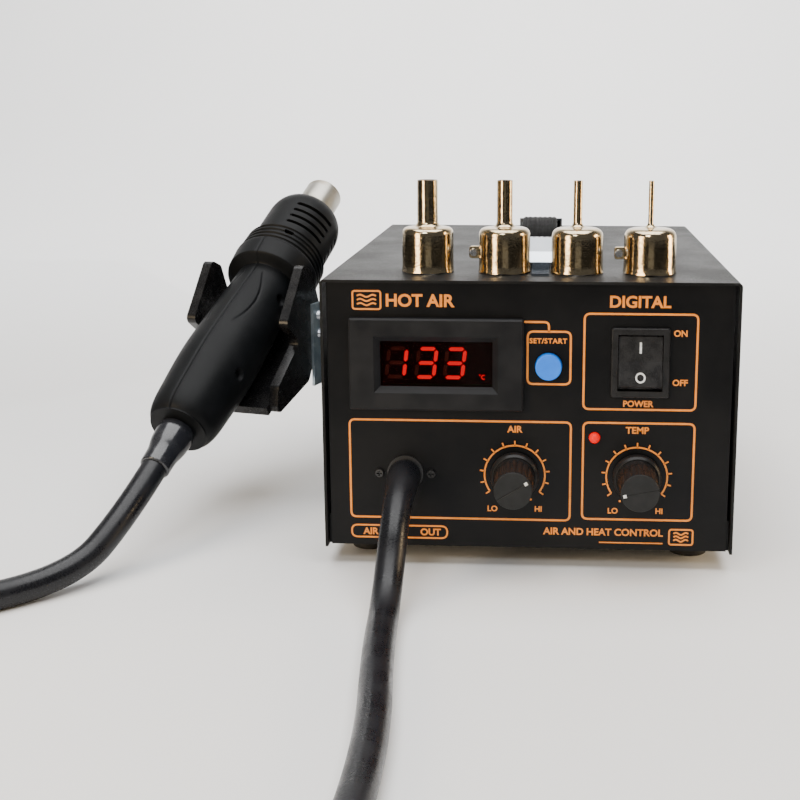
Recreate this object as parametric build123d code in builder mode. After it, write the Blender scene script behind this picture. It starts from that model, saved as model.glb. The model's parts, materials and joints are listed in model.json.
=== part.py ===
"""Hot-air rework station: a steel case, a hot-air gun in its side holder, and four loose nozzles.

Millimetres, +Z up. The origin is the centre of the case's footprint, on the table.
The front panel faces -Y. Pieces that only lie close together stay fit_gap apart.
"""
import os
from math import cos, pi, radians, sin, tan

from build123d import *

# ---- driving dimensions -------------------------------------------------------------------
# Case
case_width = 187.0
case_depth = 245.0
cover_height = 125.0
foot_clearance = 9.0
cover_sheet = 1.2
panel_sheet = 1.5
bend_radius = 2.0
panel_recess = 2.0
panel_side_gap = 1.5
panel_bottom_gap = 0.8
flange_depth = 12.0
side_flange = 14.0
fit_gap = 0.3
running_gap = 0.05

# Feet and fasteners
foot_diameter = 19.0
foot_taper = 4.0
foot_inset_x = 17.0
foot_inset_y = 30.0
foot_screw_recess = 5.0
m2_screw = {"shank": 2.0, "head": 3.8, "head_height": 1.6}
m25_screw = {"shank": 2.5, "head": 4.4, "head_height": 1.7}
m3_screw = {"shank": 3.0, "head": 5.6, "head_height": 2.0}
m4_screw = {"shank": 4.0, "head": 7.6, "head_height": 2.6}
hole_clearance = 0.3
cover_screw_y = 85.0
flange_screw_x = 50.0

# Front panel layout, across from the case's middle and up from the table
display_x = -41.4
display_z = 96.0
bezel_width = 78.4
bezel_height = 42.0
bezel_thickness = 4.0
bezel_body_margin = 8.0
bezel_body_depth = 9.0
window_width = 50.6
window_height = 20.6
window_bevel = 2.7
window_rim = 2.0
window_thickness = 2.0
digit_module_width = 50.2
digit_module_height = 19.0
board_thickness = 1.6
button_x = 9.0
button_z = 95.5
button_diameter = 11.8
button_stand_out = 4.0
button_collar = 1.2
button_stem_diameter = 3.0
switch_x = 49.8
switch_z = 97.6
switch_width = 26.0
switch_height = 31.6
switch_lip = 2.0
switch_body_depth = 22.0
switch_wall = 1.3
rocker_width = 19.4
rocker_radius = 12.6
rocker_tilt = 10.0
rocker_pivot_depth = 3.0
rocker_pin_diameter = 3.0
dial_z = 44.6
air_x = -5.9
temp_x = 49.5
knob_reach = 25.0
knob_skirt_diameter = 22.0
knob_barrel_diameter = 17.8
knob_skirt_length = 4.5
knob_panel_gap = 1.2
knob_flutes = 12
air_pointer_angle = 31.0
temp_pointer_angle = 192.0
shaft_diameter = 6.0
pot_bushing_diameter = 9.0
pot_bushing_reach = 5.0
pot_diameter = 24.0
pot_depth = 8.5
led_x = 30.1
led_z = 62.7
led_diameter = 5.0
gland_x = -56.0
gland_diameter = 16.6
gland_stand_out = 0.8
gland_screw_spacing = 23.8
gland_spigot = 14.0

# Hose between the gland and the gun, lying on the table outside the front
hose_diameter = 12.5
hose_recess = 5.0

# Hot-air gun: the middle of its tail, its heading and rise, then lengths along its own axis
gun_tail = Vector(-171.5, -87.5, 54.3)
gun_yaw = 14.75
gun_rise = 30.6
gun_length = 200.0
handle_length = 126.0
handle_wall = 2.6
handle_tail_radius = 14.5
handle_outline = [(8.0, 17.3), (45.0, 19.8), (88.0, 18.2)]
handle_neck_radius = 17.0
handle_screw_places = [(36.5, 17.0), (95.0, 15.6)]
handle_screw_rise = 5.0
handle_boss_radius = 3.6
handle_screw_seat = 7.8
handle_screw_length = 14.0
collar_start = 111.0
collar_flare = 2.0
collar_radius = 24.4
collar_edge = 1.2
cap_length = 51.0
cap_ring_length = 12.5
cap_ring_grooves = (3.0, 7.0, 11.0)
cap_groove_width = 1.4
cap_groove_depth = 1.2
cap_radius = 21.2
cap_nose_length = 14.0
cap_nose_middle = (6.0, 2.6)
cap_mouth_radius = 14.0
cap_wall = 2.4
cap_slot_places = (18.0, 23.2, 28.4, 33.6)
cap_slot_turns = (11.0, 101.0, 191.0)
cap_slot_arc = 66.0
cap_slot_width = 2.2
pipe_radius = 10.9
pipe_seat_radius = 10.7
pipe_wall = 0.7
pipe_start = 106.0
pipe_flange = 1.2
heater_radius = 9.2
heater_back = 6.0
heater_recess = 14.0
heater_hole_radius = 1.9
bushing_length = 26.0
bushing_neck_radius = 7.9
bushing_collar = (3.0, 9.4)
bushing_outline = [(-5.0, 9.3), (-13.0, 8.0)]
bushing_root_radius = 8.8
bushing_end_radius = 7.0

# Gun holder and its bracket: the cheeks' outline and screws are (along, up) beside the gun
holder_wall = 5.0
holder_half_gap = 24.8
holder_outline = [(38.5, -25.5), (49.0, -14.0), (64.0, -12.5), (81.0, -10.7), (73.2, 6.3), (83.6, 10.5),
                  (107.0, 20.5), (113.0, 12.5), (110.7, -9.0), (103.5, -24.0), (77.0, -36.0)]
holder_corner = 3.5
holder_floor_drop = 20.6
holder_floor_start = 39.0
holder_rib_place = 79.0
holder_rib = (4.0, 8.0)
holder_screw_places = [(104.0, -12.0), (99.5, -21.0)]
bracket_sheet = 1.5
bracket_height = 45.0
bracket_bottom = 59.0
bracket_web_y = 6.0
bracket_case_reach = 30.0
bracket_holder_reach = 16.0

# Carrying strap, with a metal cap and toe plate at each end
strap_x = 3.0
strap_width = 18.5
strap_thickness = 3.5
strap_rise = 12.5
strap_lift = 0.5
strap_flat_start = 58.0
strap_end = 76.0
strap_screw_y = 65.0
strap_cap_width = 24.0
strap_cap_wall = 1.2
strap_cap_inner_y = 48.0
strap_cap_outer_y = 79.5
strap_cap_outline = [(0.0, 3.0), (6.5, 7.2), (27.5, 11.6)]
strap_toe_x = 4.7
strap_toe_width = 8.0
strap_toe_length = 26.5
strap_toe_thickness = 1.0

# Nozzles: across position, tube diameter, and how far its clamp is turned from the left side
nozzle_row_y = -93.0
nozzle_bell_radius = 11.9
nozzle_bore_radius = 11.1
nozzle_bell_height = 17.2
nozzle_dome_height = 20.8
nozzle_height = 42.0
nozzle_tube_wall = 0.5
nozzle_lip = (0.4, 2.0, 2.6)
nozzle_shoulder = 1.5
nozzle_slit = 1.2
nozzle_slit_height = 12.5
nozzle_lug_height = 9.0
nozzle_lug_reach = 4.8
nozzle_lug_width = 6.0
nozzle_lug_thickness = 1.2
nozzle_screw_reach = 2.3
nozzle_screw_length = 6.0
nozzle_tubes = {"large": (-47.6, 9.5, -90), "medium": (-12.0, 7.2, 0), "small": (21.5, 4.0, -90),
                "fine": (54.8, 2.4, 0)}

# Mains inlet and the pieces inside the case
inlet_x = -50.0
inlet_z = 40.0
inlet_width = 27.0
inlet_height = 19.8
inlet_screw_spacing = 40.0
inlet_depth = 22.0
inlet_socket_depth = 20.0
inlet_socket_margin = (3.0, 3.6)
inlet_pin_places = [(-7.0, -2.0), (0.0, 2.0), (7.0, -2.0)]
inlet_pin_size = (2.0, 4.0)
inlet_pin_length = 12.0
inlet_pin_depth = 17.5
vent_count = 9
vent_spacing = 8.0
vent_size = (44.0, 4.0)
pump_width = 96.0
pump_depth = 78.0
pump_height = 58.0
pump_x = 25.0
pump_y = 50.0
pump_outlet_x = -5.0
pump_outlet_z = 45.0
pump_mount_height = 8.0
pump_mount_radius = 6.0
pump_corner = 8.0
pump_outlet_length = 10.0
air_tube_diameter = 9.0
air_tube_straight = 34.0
board_x = 52.0
board_y = -45.0
board_width = 70.0
board_depth = 85.0
standoff_height = 8.0
standoff_radius = 3.4
board_hole_inset = 5.0
transformer_size = (34.0, 40.0, 30.0)
heat_sink_web = (3.0, 36.0, 26.0)
heat_sink_fin = (22.0, 1.6)
heat_sink_fins = 7
heat_sink_pitch = 6.0

# ---- derived places -----------------------------------------------------------------------
case_top = foot_clearance + cover_height
half_width = case_width / 2
front_edge = -case_depth / 2
back_edge = case_depth / 2
inner_half_width = half_width - cover_sheet
inner_top = case_top - cover_sheet
panel_front = front_edge + panel_recess
panel_back = panel_front + panel_sheet
rear_outside = back_edge - panel_recess
rear_inside = rear_outside - panel_sheet
panel_width = 2 * (inner_half_width - panel_side_gap)
panel_bottom = foot_clearance + panel_bottom_gap
panel_top = inner_top - fit_gap
panel_height = panel_top - panel_bottom
base_bottom = panel_bottom
base_top = base_bottom + panel_sheet
cover_screw_z = base_bottom + side_flange / 2
flange_screw_y = flange_depth / 2
foot_x = half_width - foot_inset_x
foot_y = back_edge - foot_inset_y
board_front = panel_front + bezel_body_depth + fit_gap
pivot_y = panel_front + rocker_pivot_depth
gland_front = panel_front - gland_stand_out
knob_back = panel_front - knob_panel_gap
knob_front = panel_front - knob_reach
knob_cap_thickness = 1.2
pump_bottom = base_top + pump_mount_height
board_bottom = base_top + standoff_height

gun_axis = Vector(sin(radians(gun_yaw)) * cos(radians(gun_rise)),
                  cos(radians(gun_yaw)) * cos(radians(gun_rise)),
                  sin(radians(gun_rise)))
gun_side = Vector(cos(radians(gun_yaw)), -sin(radians(gun_yaw)), 0)
gun_heading = Vector(sin(radians(gun_yaw)), cos(radians(gun_yaw)), 0)
gun_up = gun_side.cross(gun_axis)
gun_line = Axis(gun_tail, gun_axis)


def front_plane(x, y, z):
    """A plane facing the front at (x, y, z), its own x along +X and its own y along +Z."""
    return Plane(origin=(x, y, z), x_dir=(1, 0, 0), z_dir=(0, -1, 0))


def rear_plane(x, y, z):
    """A plane facing the back at (x, y, z), its own x along -X and its own y along +Z."""
    return Plane(origin=(x, y, z), x_dir=(-1, 0, 0), z_dir=(0, 1, 0))


def gun_plane(offset):
    """The plane along the gun, offset to its right: x along the gun's axis, y up across it."""
    return Plane(origin=gun_tail + gun_side * offset, x_dir=gun_axis, z_dir=gun_side)


def gun_point(along, up, side):
    """A point placed by its distances along the gun's axis, up across it and to its right."""
    return gun_tail + gun_axis * along + gun_up * up + gun_side * side


def finish(piece, name):
    """Labels a finished piece and writes its STEP file."""
    piece.part.label = name
    export_step(piece.part, f"parts/{name}.step")


def pan_head_screws(seats, size, length):
    """Cross-recessed pan-head screws, one on each seat plane, heads on its positive side."""
    with BuildPart() as group:
        for seat in seats:
            with BuildSketch(seat):
                Circle(size["head"] / 2)
            extrude(amount=size["head_height"], taper=12)
            with BuildSketch(seat):
                Circle(size["shank"] / 2)
            extrude(amount=-length)
            with BuildSketch(seat.offset(size["head_height"])):
                Rectangle(size["head"] * 0.55, size["head"] * 0.14)
                Rectangle(size["head"] * 0.14, size["head"] * 0.55)
            extrude(amount=-size["head_height"] * 0.6, mode=Mode.SUBTRACT)
    return group


def corner_radii(route):
    """One radius for each corner: 0.45 of the shorter run, divided by the tangent of half the turn."""
    radii = []
    for before, corner, after in zip(route, route[1:], route[2:]):
        run_in = Vector(corner) - Vector(before)
        run_out = Vector(after) - Vector(corner)
        turn = run_in.get_angle(run_out)
        shorter = min(run_in.length, run_out.length)
        radii.append(0.45 * shorter / tan(radians(turn) / 2))
    return radii


def round_tube(route, diameter):
    """A solid tube of the given diameter along straight runs joined by tangent arcs."""
    radii = corner_radii(route)
    with BuildPart() as tube:
        with BuildLine() as path:
            FilletPolyline(*route, radius=radii)
        heading = Vector(route[1]) - Vector(route[0])
        with BuildSketch(Plane(origin=route[0], z_dir=heading)):
            Circle(diameter / 2)
        sweep(path=path.wires()[0])
    expected = path.wires()[0].length * pi * diameter ** 2 / 4
    print("radii", [round(r) for r in radii], "length", round(path.wires()[0].length),
          "volume over section times length", round(tube.part.volume / expected, 4))
    return tube


os.makedirs("parts", exist_ok=True)

# ---- case ---------------------------------------------------------------------------------
m3_hole = (m3_screw["shank"] + hole_clearance) / 2
m4_hole = (m4_screw["shank"] + hole_clearance) / 2
bracket_case_y = bracket_web_y + bracket_case_reach * 0.7
bracket_hole_z = [bracket_bottom + bracket_height * share for share in (0.25, 0.75)]

with BuildPart() as case_cover:
    with BuildSketch(front_plane(0, front_edge, foot_clearance)):
        Rectangle(case_width, cover_height, align=(Align.CENTER, Align.MIN))
        Rectangle(2 * inner_half_width, cover_height - cover_sheet,
                  align=(Align.CENTER, Align.MIN), mode=Mode.SUBTRACT)
    extrude(amount=-case_depth)
    bends = case_cover.edges().filter_by(Axis.Y).group_by(Axis.Z)
    fillet(bends[-1], bend_radius)
    bends = case_cover.edges().filter_by(Axis.Y).filter_by(
        lambda edge: abs(edge.center().Z - inner_top) < 0.01).group_by(Axis.Z)
    fillet(bends[-1], bend_radius - cover_sheet)
    with BuildSketch(Plane.YZ):
        with Locations((-cover_screw_y, cover_screw_z), (cover_screw_y, cover_screw_z)):
            Circle(m3_hole)
    extrude(amount=case_width, both=True, mode=Mode.SUBTRACT)
    with BuildSketch(Plane.YZ):
        with Locations(*[(bracket_case_y, z) for z in bracket_hole_z]):
            Circle(m4_hole)
    extrude(amount=-case_width, mode=Mode.SUBTRACT)
    with BuildSketch(Plane.XY.offset(case_top)):
        with Locations((strap_x, -strap_screw_y), (strap_x, strap_screw_y)):
            Circle(m4_hole)
    extrude(amount=-2 * cover_sheet, mode=Mode.SUBTRACT)
finish(case_cover, "case_cover")

with BuildPart() as chassis_base:
    base_width = 2 * (inner_half_width - fit_gap)
    with BuildSketch(Plane.XY.offset(base_bottom)):
        Rectangle(base_width, rear_inside - panel_back)
    extrude(amount=side_flange)
    with BuildSketch(Plane.XY.offset(base_top)):
        Rectangle(base_width - 2 * panel_sheet, rear_inside - panel_back)
    extrude(amount=side_flange, mode=Mode.SUBTRACT)
    with BuildSketch(Plane.YZ):
        with Locations((-cover_screw_y, cover_screw_z), (cover_screw_y, cover_screw_z)):
            Circle(m3_hole)
    extrude(amount=case_width, both=True, mode=Mode.SUBTRACT)
    with BuildSketch(Plane.XY.offset(base_bottom)):
        with GridLocations(2 * foot_x, 2 * foot_y, 2, 2):
            Circle(m4_hole)
        with GridLocations(2 * flange_screw_x, rear_inside - panel_back - 2 * flange_screw_y, 2, 2):
            Circle(m3_hole)
        with GridLocations(0, 12, 1, 7):
            SlotOverall(46, 4)
    extrude(amount=panel_sheet, mode=Mode.SUBTRACT)
finish(chassis_base, "chassis_base")

with BuildPart() as front_panel:
    with BuildSketch(front_plane(0, panel_front, panel_bottom)):
        Rectangle(panel_width, panel_height, align=(Align.CENTER, Align.MIN))
    extrude(amount=-panel_sheet)
    for flange_bottom in (base_top, panel_top - panel_sheet):
        with BuildSketch(Plane.XY.offset(flange_bottom)):
            with Locations((0, panel_back)):
                Rectangle(panel_width - 2 * side_flange, flange_depth, align=(Align.CENTER, Align.MIN))
        extrude(amount=panel_sheet)
    with BuildSketch(Plane.XY.offset(base_top)):
        with Locations((-flange_screw_x, panel_back + flange_screw_y),
                       (flange_screw_x, panel_back + flange_screw_y)):
            Circle(m3_hole)
    extrude(amount=panel_sheet, mode=Mode.SUBTRACT)
    with BuildSketch(front_plane(0, panel_front, 0)):
        with Locations((display_x, display_z)):
            Rectangle(window_width + 2 * bezel_body_margin + fit_gap,
                      window_height + 2 * bezel_body_margin + fit_gap)
        with Locations((button_x, button_z)):
            Circle(button_diameter / 2 + fit_gap)
        with Locations((switch_x, switch_z)):
            Rectangle(rocker_width + 2 * switch_wall + 3 * fit_gap,
                      2 * (rocker_radius + switch_wall) + 3 * fit_gap)
        with Locations((air_x, dial_z), (temp_x, dial_z)):
            Circle((pot_bushing_diameter + hole_clearance) / 2)
        with Locations((led_x, led_z)):
            Circle((led_diameter + hole_clearance) / 2)
        with Locations((gland_x, dial_z)):
            Circle((gland_diameter + hole_clearance) / 2)
        with Locations((gland_x - gland_screw_spacing / 2, dial_z),
                       (gland_x + gland_screw_spacing / 2, dial_z)):
            Circle((m25_screw["shank"] + hole_clearance) / 2)
    extrude(amount=-panel_sheet, mode=Mode.SUBTRACT)
finish(front_panel, "front_panel")

with BuildPart() as back_panel:
    with BuildSketch(rear_plane(0, rear_outside, panel_bottom)):
        Rectangle(panel_width, panel_height, align=(Align.CENTER, Align.MIN))
    extrude(amount=-panel_sheet)
    for flange_bottom in (base_top, panel_top - panel_sheet):
        with BuildSketch(Plane.XY.offset(flange_bottom)):
            with Locations((0, rear_inside)):
                Rectangle(panel_width - 2 * side_flange, flange_depth, align=(Align.CENTER, Align.MAX))
        extrude(amount=panel_sheet)
    with BuildSketch(Plane.XY.offset(base_top)):
        with Locations((-flange_screw_x, rear_inside - flange_screw_y),
                       (flange_screw_x, rear_inside - flange_screw_y)):
            Circle(m3_hole)
    extrude(amount=panel_sheet, mode=Mode.SUBTRACT)
    with BuildSketch(rear_plane(inlet_x, rear_outside, inlet_z)):
        Rectangle(inlet_width + fit_gap, inlet_height + fit_gap)
        with GridLocations(inlet_screw_spacing, 0, 2, 1):
            Circle(m3_hole)
    extrude(amount=-panel_sheet, mode=Mode.SUBTRACT)
    with BuildSketch(rear_plane(-pump_x, rear_outside, panel_bottom + panel_height * 0.6)):
        with GridLocations(vent_spacing, 0, vent_count, 1):
            SlotOverall(*vent_size, rotation=90)
    extrude(amount=-panel_sheet, mode=Mode.SUBTRACT)
finish(back_panel, "back_panel")

with BuildPart() as rubber_feet:
    with BuildSketch(Plane.XY.offset(base_bottom)):
        with GridLocations(2 * foot_x, 2 * foot_y, 2, 2):
            Circle(foot_diameter / 2)
            Circle(m4_hole, mode=Mode.SUBTRACT)
    extrude(amount=-base_bottom, taper=foot_taper)
    with BuildSketch(Plane.XY):
        with GridLocations(2 * foot_x, 2 * foot_y, 2, 2):
            Circle(m4_screw["head"] / 2 + fit_gap)
    extrude(amount=foot_screw_recess, mode=Mode.SUBTRACT)
finish(rubber_feet, "rubber_feet")

foot_seats = [Plane(origin=(x, y, foot_screw_recess), z_dir=(0, 0, -1))
              for x in (-foot_x, foot_x) for y in (-foot_y, foot_y)]
foot_screws = pan_head_screws(foot_seats, m4_screw, base_top - foot_screw_recess + 3)
finish(foot_screws, "foot_screws")

case_seats = [Plane(origin=(side * half_width, y, cover_screw_z), z_dir=(side, 0, 0))
              for side in (-1, 1) for y in (-cover_screw_y, cover_screw_y)]
case_seats += [Plane(origin=(x, y, base_bottom), z_dir=(0, 0, -1))
               for x in (-flange_screw_x, flange_screw_x)
               for y in (panel_back + flange_screw_y, rear_inside - flange_screw_y)]
inlet_flange = 2.5
case_seats += [rear_plane(inlet_x + side * inlet_screw_spacing / 2, rear_outside + inlet_flange, inlet_z)
               for side in (-1, 1)]
case_screws = pan_head_screws(case_seats, m3_screw, 6)
finish(case_screws, "case_screws")

# ---- display and its controls -------------------------------------------------------------
with BuildPart() as display_bezel:
    with BuildSketch(front_plane(display_x, panel_front, display_z)):
        RectangleRounded(bezel_width, bezel_height, 1)
    extrude(amount=bezel_thickness)
    chamfer(display_bezel.faces().sort_by(Axis.Y)[0].edges(), 0.8)
    with BuildSketch(front_plane(display_x, panel_front, display_z)):
        Rectangle(window_width + 2 * bezel_body_margin, window_height + 2 * bezel_body_margin)
    extrude(amount=-bezel_body_depth)
    with BuildSketch(front_plane(display_x, panel_front - bezel_thickness, display_z)):
        Rectangle(window_width + 2 * window_bevel, window_height + 2 * window_bevel)
    extrude(amount=-window_bevel, taper=45, mode=Mode.SUBTRACT)
    with BuildSketch(front_plane(display_x, panel_front - bezel_thickness, display_z)):
        Rectangle(window_width, window_height)
    extrude(amount=-bezel_thickness - bezel_body_depth, mode=Mode.SUBTRACT)
    with BuildSketch(front_plane(display_x, panel_front - window_thickness / 2, display_z)):
        Rectangle(window_width + 2 * window_rim, window_height + 2 * window_rim)
    extrude(amount=-bezel_body_depth - window_thickness, mode=Mode.SUBTRACT)
finish(display_bezel, "display_bezel")

with BuildPart() as display_window:
    with BuildSketch(front_plane(display_x, panel_front - window_thickness / 2, display_z)):
        Rectangle(window_width + 2 * window_rim - fit_gap, window_height + 2 * window_rim - fit_gap)
    extrude(amount=-window_thickness)
finish(display_window, "display_window")

with BuildPart() as digit_module:
    with BuildSketch(front_plane(display_x, board_front, display_z)):
        Rectangle(digit_module_width, digit_module_height)
    extrude(amount=board_front - panel_front - window_thickness / 2 - fit_gap)
finish(digit_module, "digit_module")

with BuildPart() as display_board:
    with BuildSketch(front_plane(0, board_front, display_z)):
        with Locations((display_x - bezel_width / 2 + 4, 0)):
            Rectangle(button_x - display_x + bezel_width / 2 + 8, bezel_height - 4,
                      align=(Align.MIN, Align.CENTER))
    extrude(amount=-board_thickness)
finish(display_board, "display_board")

button_collar_front = panel_back + fit_gap
set_switch_front = board_front - 4
with BuildPart() as set_button:
    with BuildSketch(front_plane(button_x, button_collar_front, button_z)):
        Circle(button_diameter / 2)
    extrude(amount=button_collar_front - panel_front + button_stand_out)
    fillet(set_button.faces().sort_by(Axis.Y)[0].edges(), 0.8)
    with BuildSketch(front_plane(button_x, button_collar_front, button_z)):
        Circle(button_diameter / 2 + button_collar)
    extrude(amount=-button_collar)
    with BuildSketch(front_plane(button_x, button_collar_front, button_z)):
        Circle(button_stem_diameter / 2)
    extrude(amount=-(board_front - 1.8 - button_collar_front))
finish(set_button, "set_button")

with BuildPart() as set_switch:
    with BuildSketch(front_plane(button_x, board_front, button_z)):
        Rectangle(12, 12)
        Circle(button_stem_diameter / 2 + running_gap, mode=Mode.SUBTRACT)
    extrude(amount=board_front - set_switch_front)
finish(set_switch, "set_switch")

# ---- power switch -------------------------------------------------------------------------
rocker_opening_width = rocker_width + 2 * fit_gap
rocker_opening_height = 2 * rocker_radius + 0.4
with BuildPart() as power_switch_frame:
    with BuildSketch(front_plane(switch_x, panel_front, switch_z)):
        RectangleRounded(switch_width, switch_height, 1.2)
    extrude(amount=switch_lip)
    fillet(power_switch_frame.faces().sort_by(Axis.Y)[0].edges(), 0.7)
    with BuildSketch(front_plane(switch_x, panel_front, switch_z)):
        Rectangle(rocker_opening_width + 2 * switch_wall, rocker_opening_height + 2 * switch_wall)
    extrude(amount=-switch_body_depth)
    with BuildSketch(front_plane(switch_x, panel_front - switch_lip, switch_z)):
        Rectangle(rocker_opening_width, rocker_opening_height)
    extrude(amount=-switch_body_depth + 4, mode=Mode.SUBTRACT)
    with BuildSketch(Plane.YZ.offset(switch_x)):
        with Locations((pivot_y, switch_z)):
            Circle(rocker_pin_diameter / 2 + running_gap)
    extrude(amount=switch_width, both=True, mode=Mode.SUBTRACT)
finish(power_switch_frame, "power_switch_frame")

rocker_outward = Vector(0, -cos(radians(rocker_tilt)), sin(radians(rocker_tilt)))
rocker_plane = Plane(origin=(switch_x, pivot_y, switch_z), x_dir=rocker_outward, z_dir=(-1, 0, 0))
with BuildPart() as power_rocker:
    with BuildSketch(rocker_plane):
        Circle(rocker_radius)
        with BuildLine():
            Polyline((-4, -14), (6.4, -14), (4.4, 0), (6.4, 14), (-4, 14), close=True)
        make_face(mode=Mode.INTERSECT)
    extrude(amount=rocker_width / 2, both=True)
    with BuildSketch(rocker_plane):
        Circle(rocker_pin_diameter / 2)
    extrude(amount=rocker_opening_width / 2 + switch_wall - fit_gap, both=True)
finish(power_rocker, "power_rocker")

with BuildPart() as switch_terminals:
    with BuildSketch(rear_plane(switch_x, panel_front + switch_body_depth, switch_z)):
        with GridLocations(10, 14, 2, 2):
            Rectangle(0.8, 6.3)
    extrude(amount=8)
finish(switch_terminals, "switch_terminals")

# ---- dials --------------------------------------------------------------------------------
shaft_tip = panel_front - knob_reach + 6
shaft_root = panel_back + 6


def dial_knob(x):
    """A fluted knob with a chamfered skirt, hollow at the back to clear the nut and bushing."""
    recess_radius = pot_bushing_diameter * 0.85
    recess_depth = pot_bushing_reach + 2 - knob_panel_gap
    with BuildPart() as knob:
        with BuildSketch(front_plane(x, knob_back, dial_z)):
            Circle(knob_skirt_diameter / 2)
        extrude(amount=knob_skirt_length)
        chamfer(knob.faces().sort_by(Axis.Y)[0].edges(), 1.4)
        with BuildSketch(front_plane(x, knob_back, dial_z)):
            Circle(knob_barrel_diameter / 2)
        extrude(amount=knob_back - knob_front - knob_cap_thickness)
        with BuildSketch(front_plane(x, knob_back - knob_skirt_length, dial_z)):
            with PolarLocations(knob_barrel_diameter / 2 + 0.4, knob_flutes):
                Circle(0.9)
        extrude(amount=knob_reach, mode=Mode.SUBTRACT)
        with BuildSketch(front_plane(x, knob_back, dial_z)):
            Circle(recess_radius)
        extrude(amount=recess_depth, mode=Mode.SUBTRACT)
        with BuildSketch(front_plane(x, knob_back, dial_z)):
            Circle(shaft_diameter / 2)
        extrude(amount=knob_back - shaft_tip, mode=Mode.SUBTRACT)
    return knob


def dial_cap(x, pointer_angle):
    """The knob's end disc with a raised pointer bar turned to pointer_angle from +X."""
    front = front_plane(x, knob_front + knob_cap_thickness, dial_z)
    with BuildPart() as cap:
        with BuildSketch(front):
            Circle(knob_barrel_diameter / 2 - 0.5)
        extrude(amount=knob_cap_thickness)
        pointer = Vector(cos(radians(pointer_angle)), 0, sin(radians(pointer_angle)))
        with BuildSketch(Plane(origin=front.origin, x_dir=pointer, z_dir=front.z_dir)):
            with Locations((1, 0)):
                Rectangle(knob_barrel_diameter * 0.75, 1.8)
        extrude(amount=knob_cap_thickness + 0.8)
    return cap


def dial_shaft(x):
    """The potentiometer's turning shaft."""
    with BuildPart() as shaft:
        with BuildSketch(front_plane(x, shaft_root, dial_z)):
            Circle(shaft_diameter / 2)
        extrude(amount=shaft_root - shaft_tip)
    return shaft


for dial, x, pointer_angle in (("air", air_x, air_pointer_angle), ("temp", temp_x, temp_pointer_angle)):
    finish(dial_knob(x), f"{dial}_knob")
    finish(dial_cap(x, pointer_angle), f"{dial}_knob_cap")
    finish(dial_shaft(x), f"{dial}_shaft")

with BuildPart() as potentiometers:
    for x in (air_x, temp_x):
        with BuildSketch(front_plane(x, panel_back, dial_z)):
            Circle(pot_diameter / 2)
        extrude(amount=-pot_depth)
        with BuildSketch(front_plane(x, panel_back, dial_z)):
            Circle(pot_bushing_diameter / 2)
        extrude(amount=panel_sheet + pot_bushing_reach)
        with BuildSketch(front_plane(x, panel_front - pot_bushing_reach, dial_z)):
            Circle(shaft_diameter / 2 + running_gap)
        extrude(amount=-(pot_bushing_reach + panel_sheet + 6 + fit_gap), mode=Mode.SUBTRACT)
finish(potentiometers, "potentiometers")

with BuildPart() as potentiometer_nuts:
    with BuildSketch(front_plane(0, panel_front, dial_z)):
        with Locations((air_x, 0), (temp_x, 0)):
            RegularPolygon(pot_bushing_diameter * 0.76, 6)
            Circle(pot_bushing_diameter / 2 + running_gap, mode=Mode.SUBTRACT)
    extrude(amount=2)
finish(potentiometer_nuts, "potentiometer_nuts")

with BuildPart() as heater_led:
    with BuildSketch(front_plane(led_x, panel_back, led_z)):
        Circle(led_diameter / 2)
    extrude(amount=panel_sheet + 0.6)
    with Locations((led_x, panel_front - 0.6, led_z)):
        Sphere(led_diameter / 2)
    with BuildSketch(front_plane(led_x, panel_back, led_z)):
        Circle(led_diameter / 2 + 0.4)
    extrude(amount=-5)
finish(heater_led, "heater_led")

# ---- hose gland and hose ------------------------------------------------------------------
with BuildPart() as hose_gland:
    with BuildSketch(front_plane(gland_x, panel_back, dial_z)):
        Circle(gland_diameter / 2)
    extrude(amount=panel_back - gland_front)
    with BuildSketch(front_plane(gland_x, panel_back, dial_z)):
        SlotOverall(gland_screw_spacing + 10, gland_diameter + 3)
        with GridLocations(gland_screw_spacing, 0, 2, 1):
            Circle((m25_screw["shank"] + hole_clearance) / 2, mode=Mode.SUBTRACT)
    extrude(amount=-3)
    with BuildSketch(front_plane(gland_x, panel_back, dial_z)):
        Circle(air_tube_diameter / 2)
    extrude(amount=-gland_spigot)
    with BuildSketch(front_plane(gland_x, gland_front, dial_z)):
        Circle(hose_diameter / 2 + fit_gap)
    extrude(amount=-hose_recess, mode=Mode.SUBTRACT)
    with BuildSketch(front_plane(gland_x, gland_front, dial_z)):
        Circle(air_tube_diameter / 3)
    extrude(amount=-gland_spigot - hose_recess - 4, mode=Mode.SUBTRACT)
finish(hose_gland, "hose_gland")

gland_seats = [front_plane(gland_x + side * gland_screw_spacing / 2, panel_front, dial_z)
               for side in (-1, 1)]
gland_screws = pan_head_screws(gland_seats, m25_screw, 8)
finish(gland_screws, "gland_screws")

table_rest = hose_diameter / 2 + 0.05
hose_route = [
    Vector(gland_x, gland_front + hose_recess, dial_z),
    Vector(-56, -149, dial_z),
    Vector(-57.5, -180, table_rest),
    Vector(-54.5, -228, table_rest),
    Vector(-46, -300, table_rest),
    Vector(-48, -375, table_rest),
    Vector(-82, -440, table_rest),
    Vector(-150, -475, table_rest),
    Vector(-225, -462, table_rest),
    Vector(-283, -410, table_rest),
    Vector(-310, -338, table_rest),
    Vector(-295, -265, table_rest),
    Vector(-246, -203, table_rest),
    Vector(-199, -161, table_rest),
    gun_point(-bushing_length - 30, 0, 0),
    gun_point(-bushing_length - fit_gap, 0, 0),
]
hose = round_tube(hose_route, hose_diameter)
finish(hose, "hose")

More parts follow.
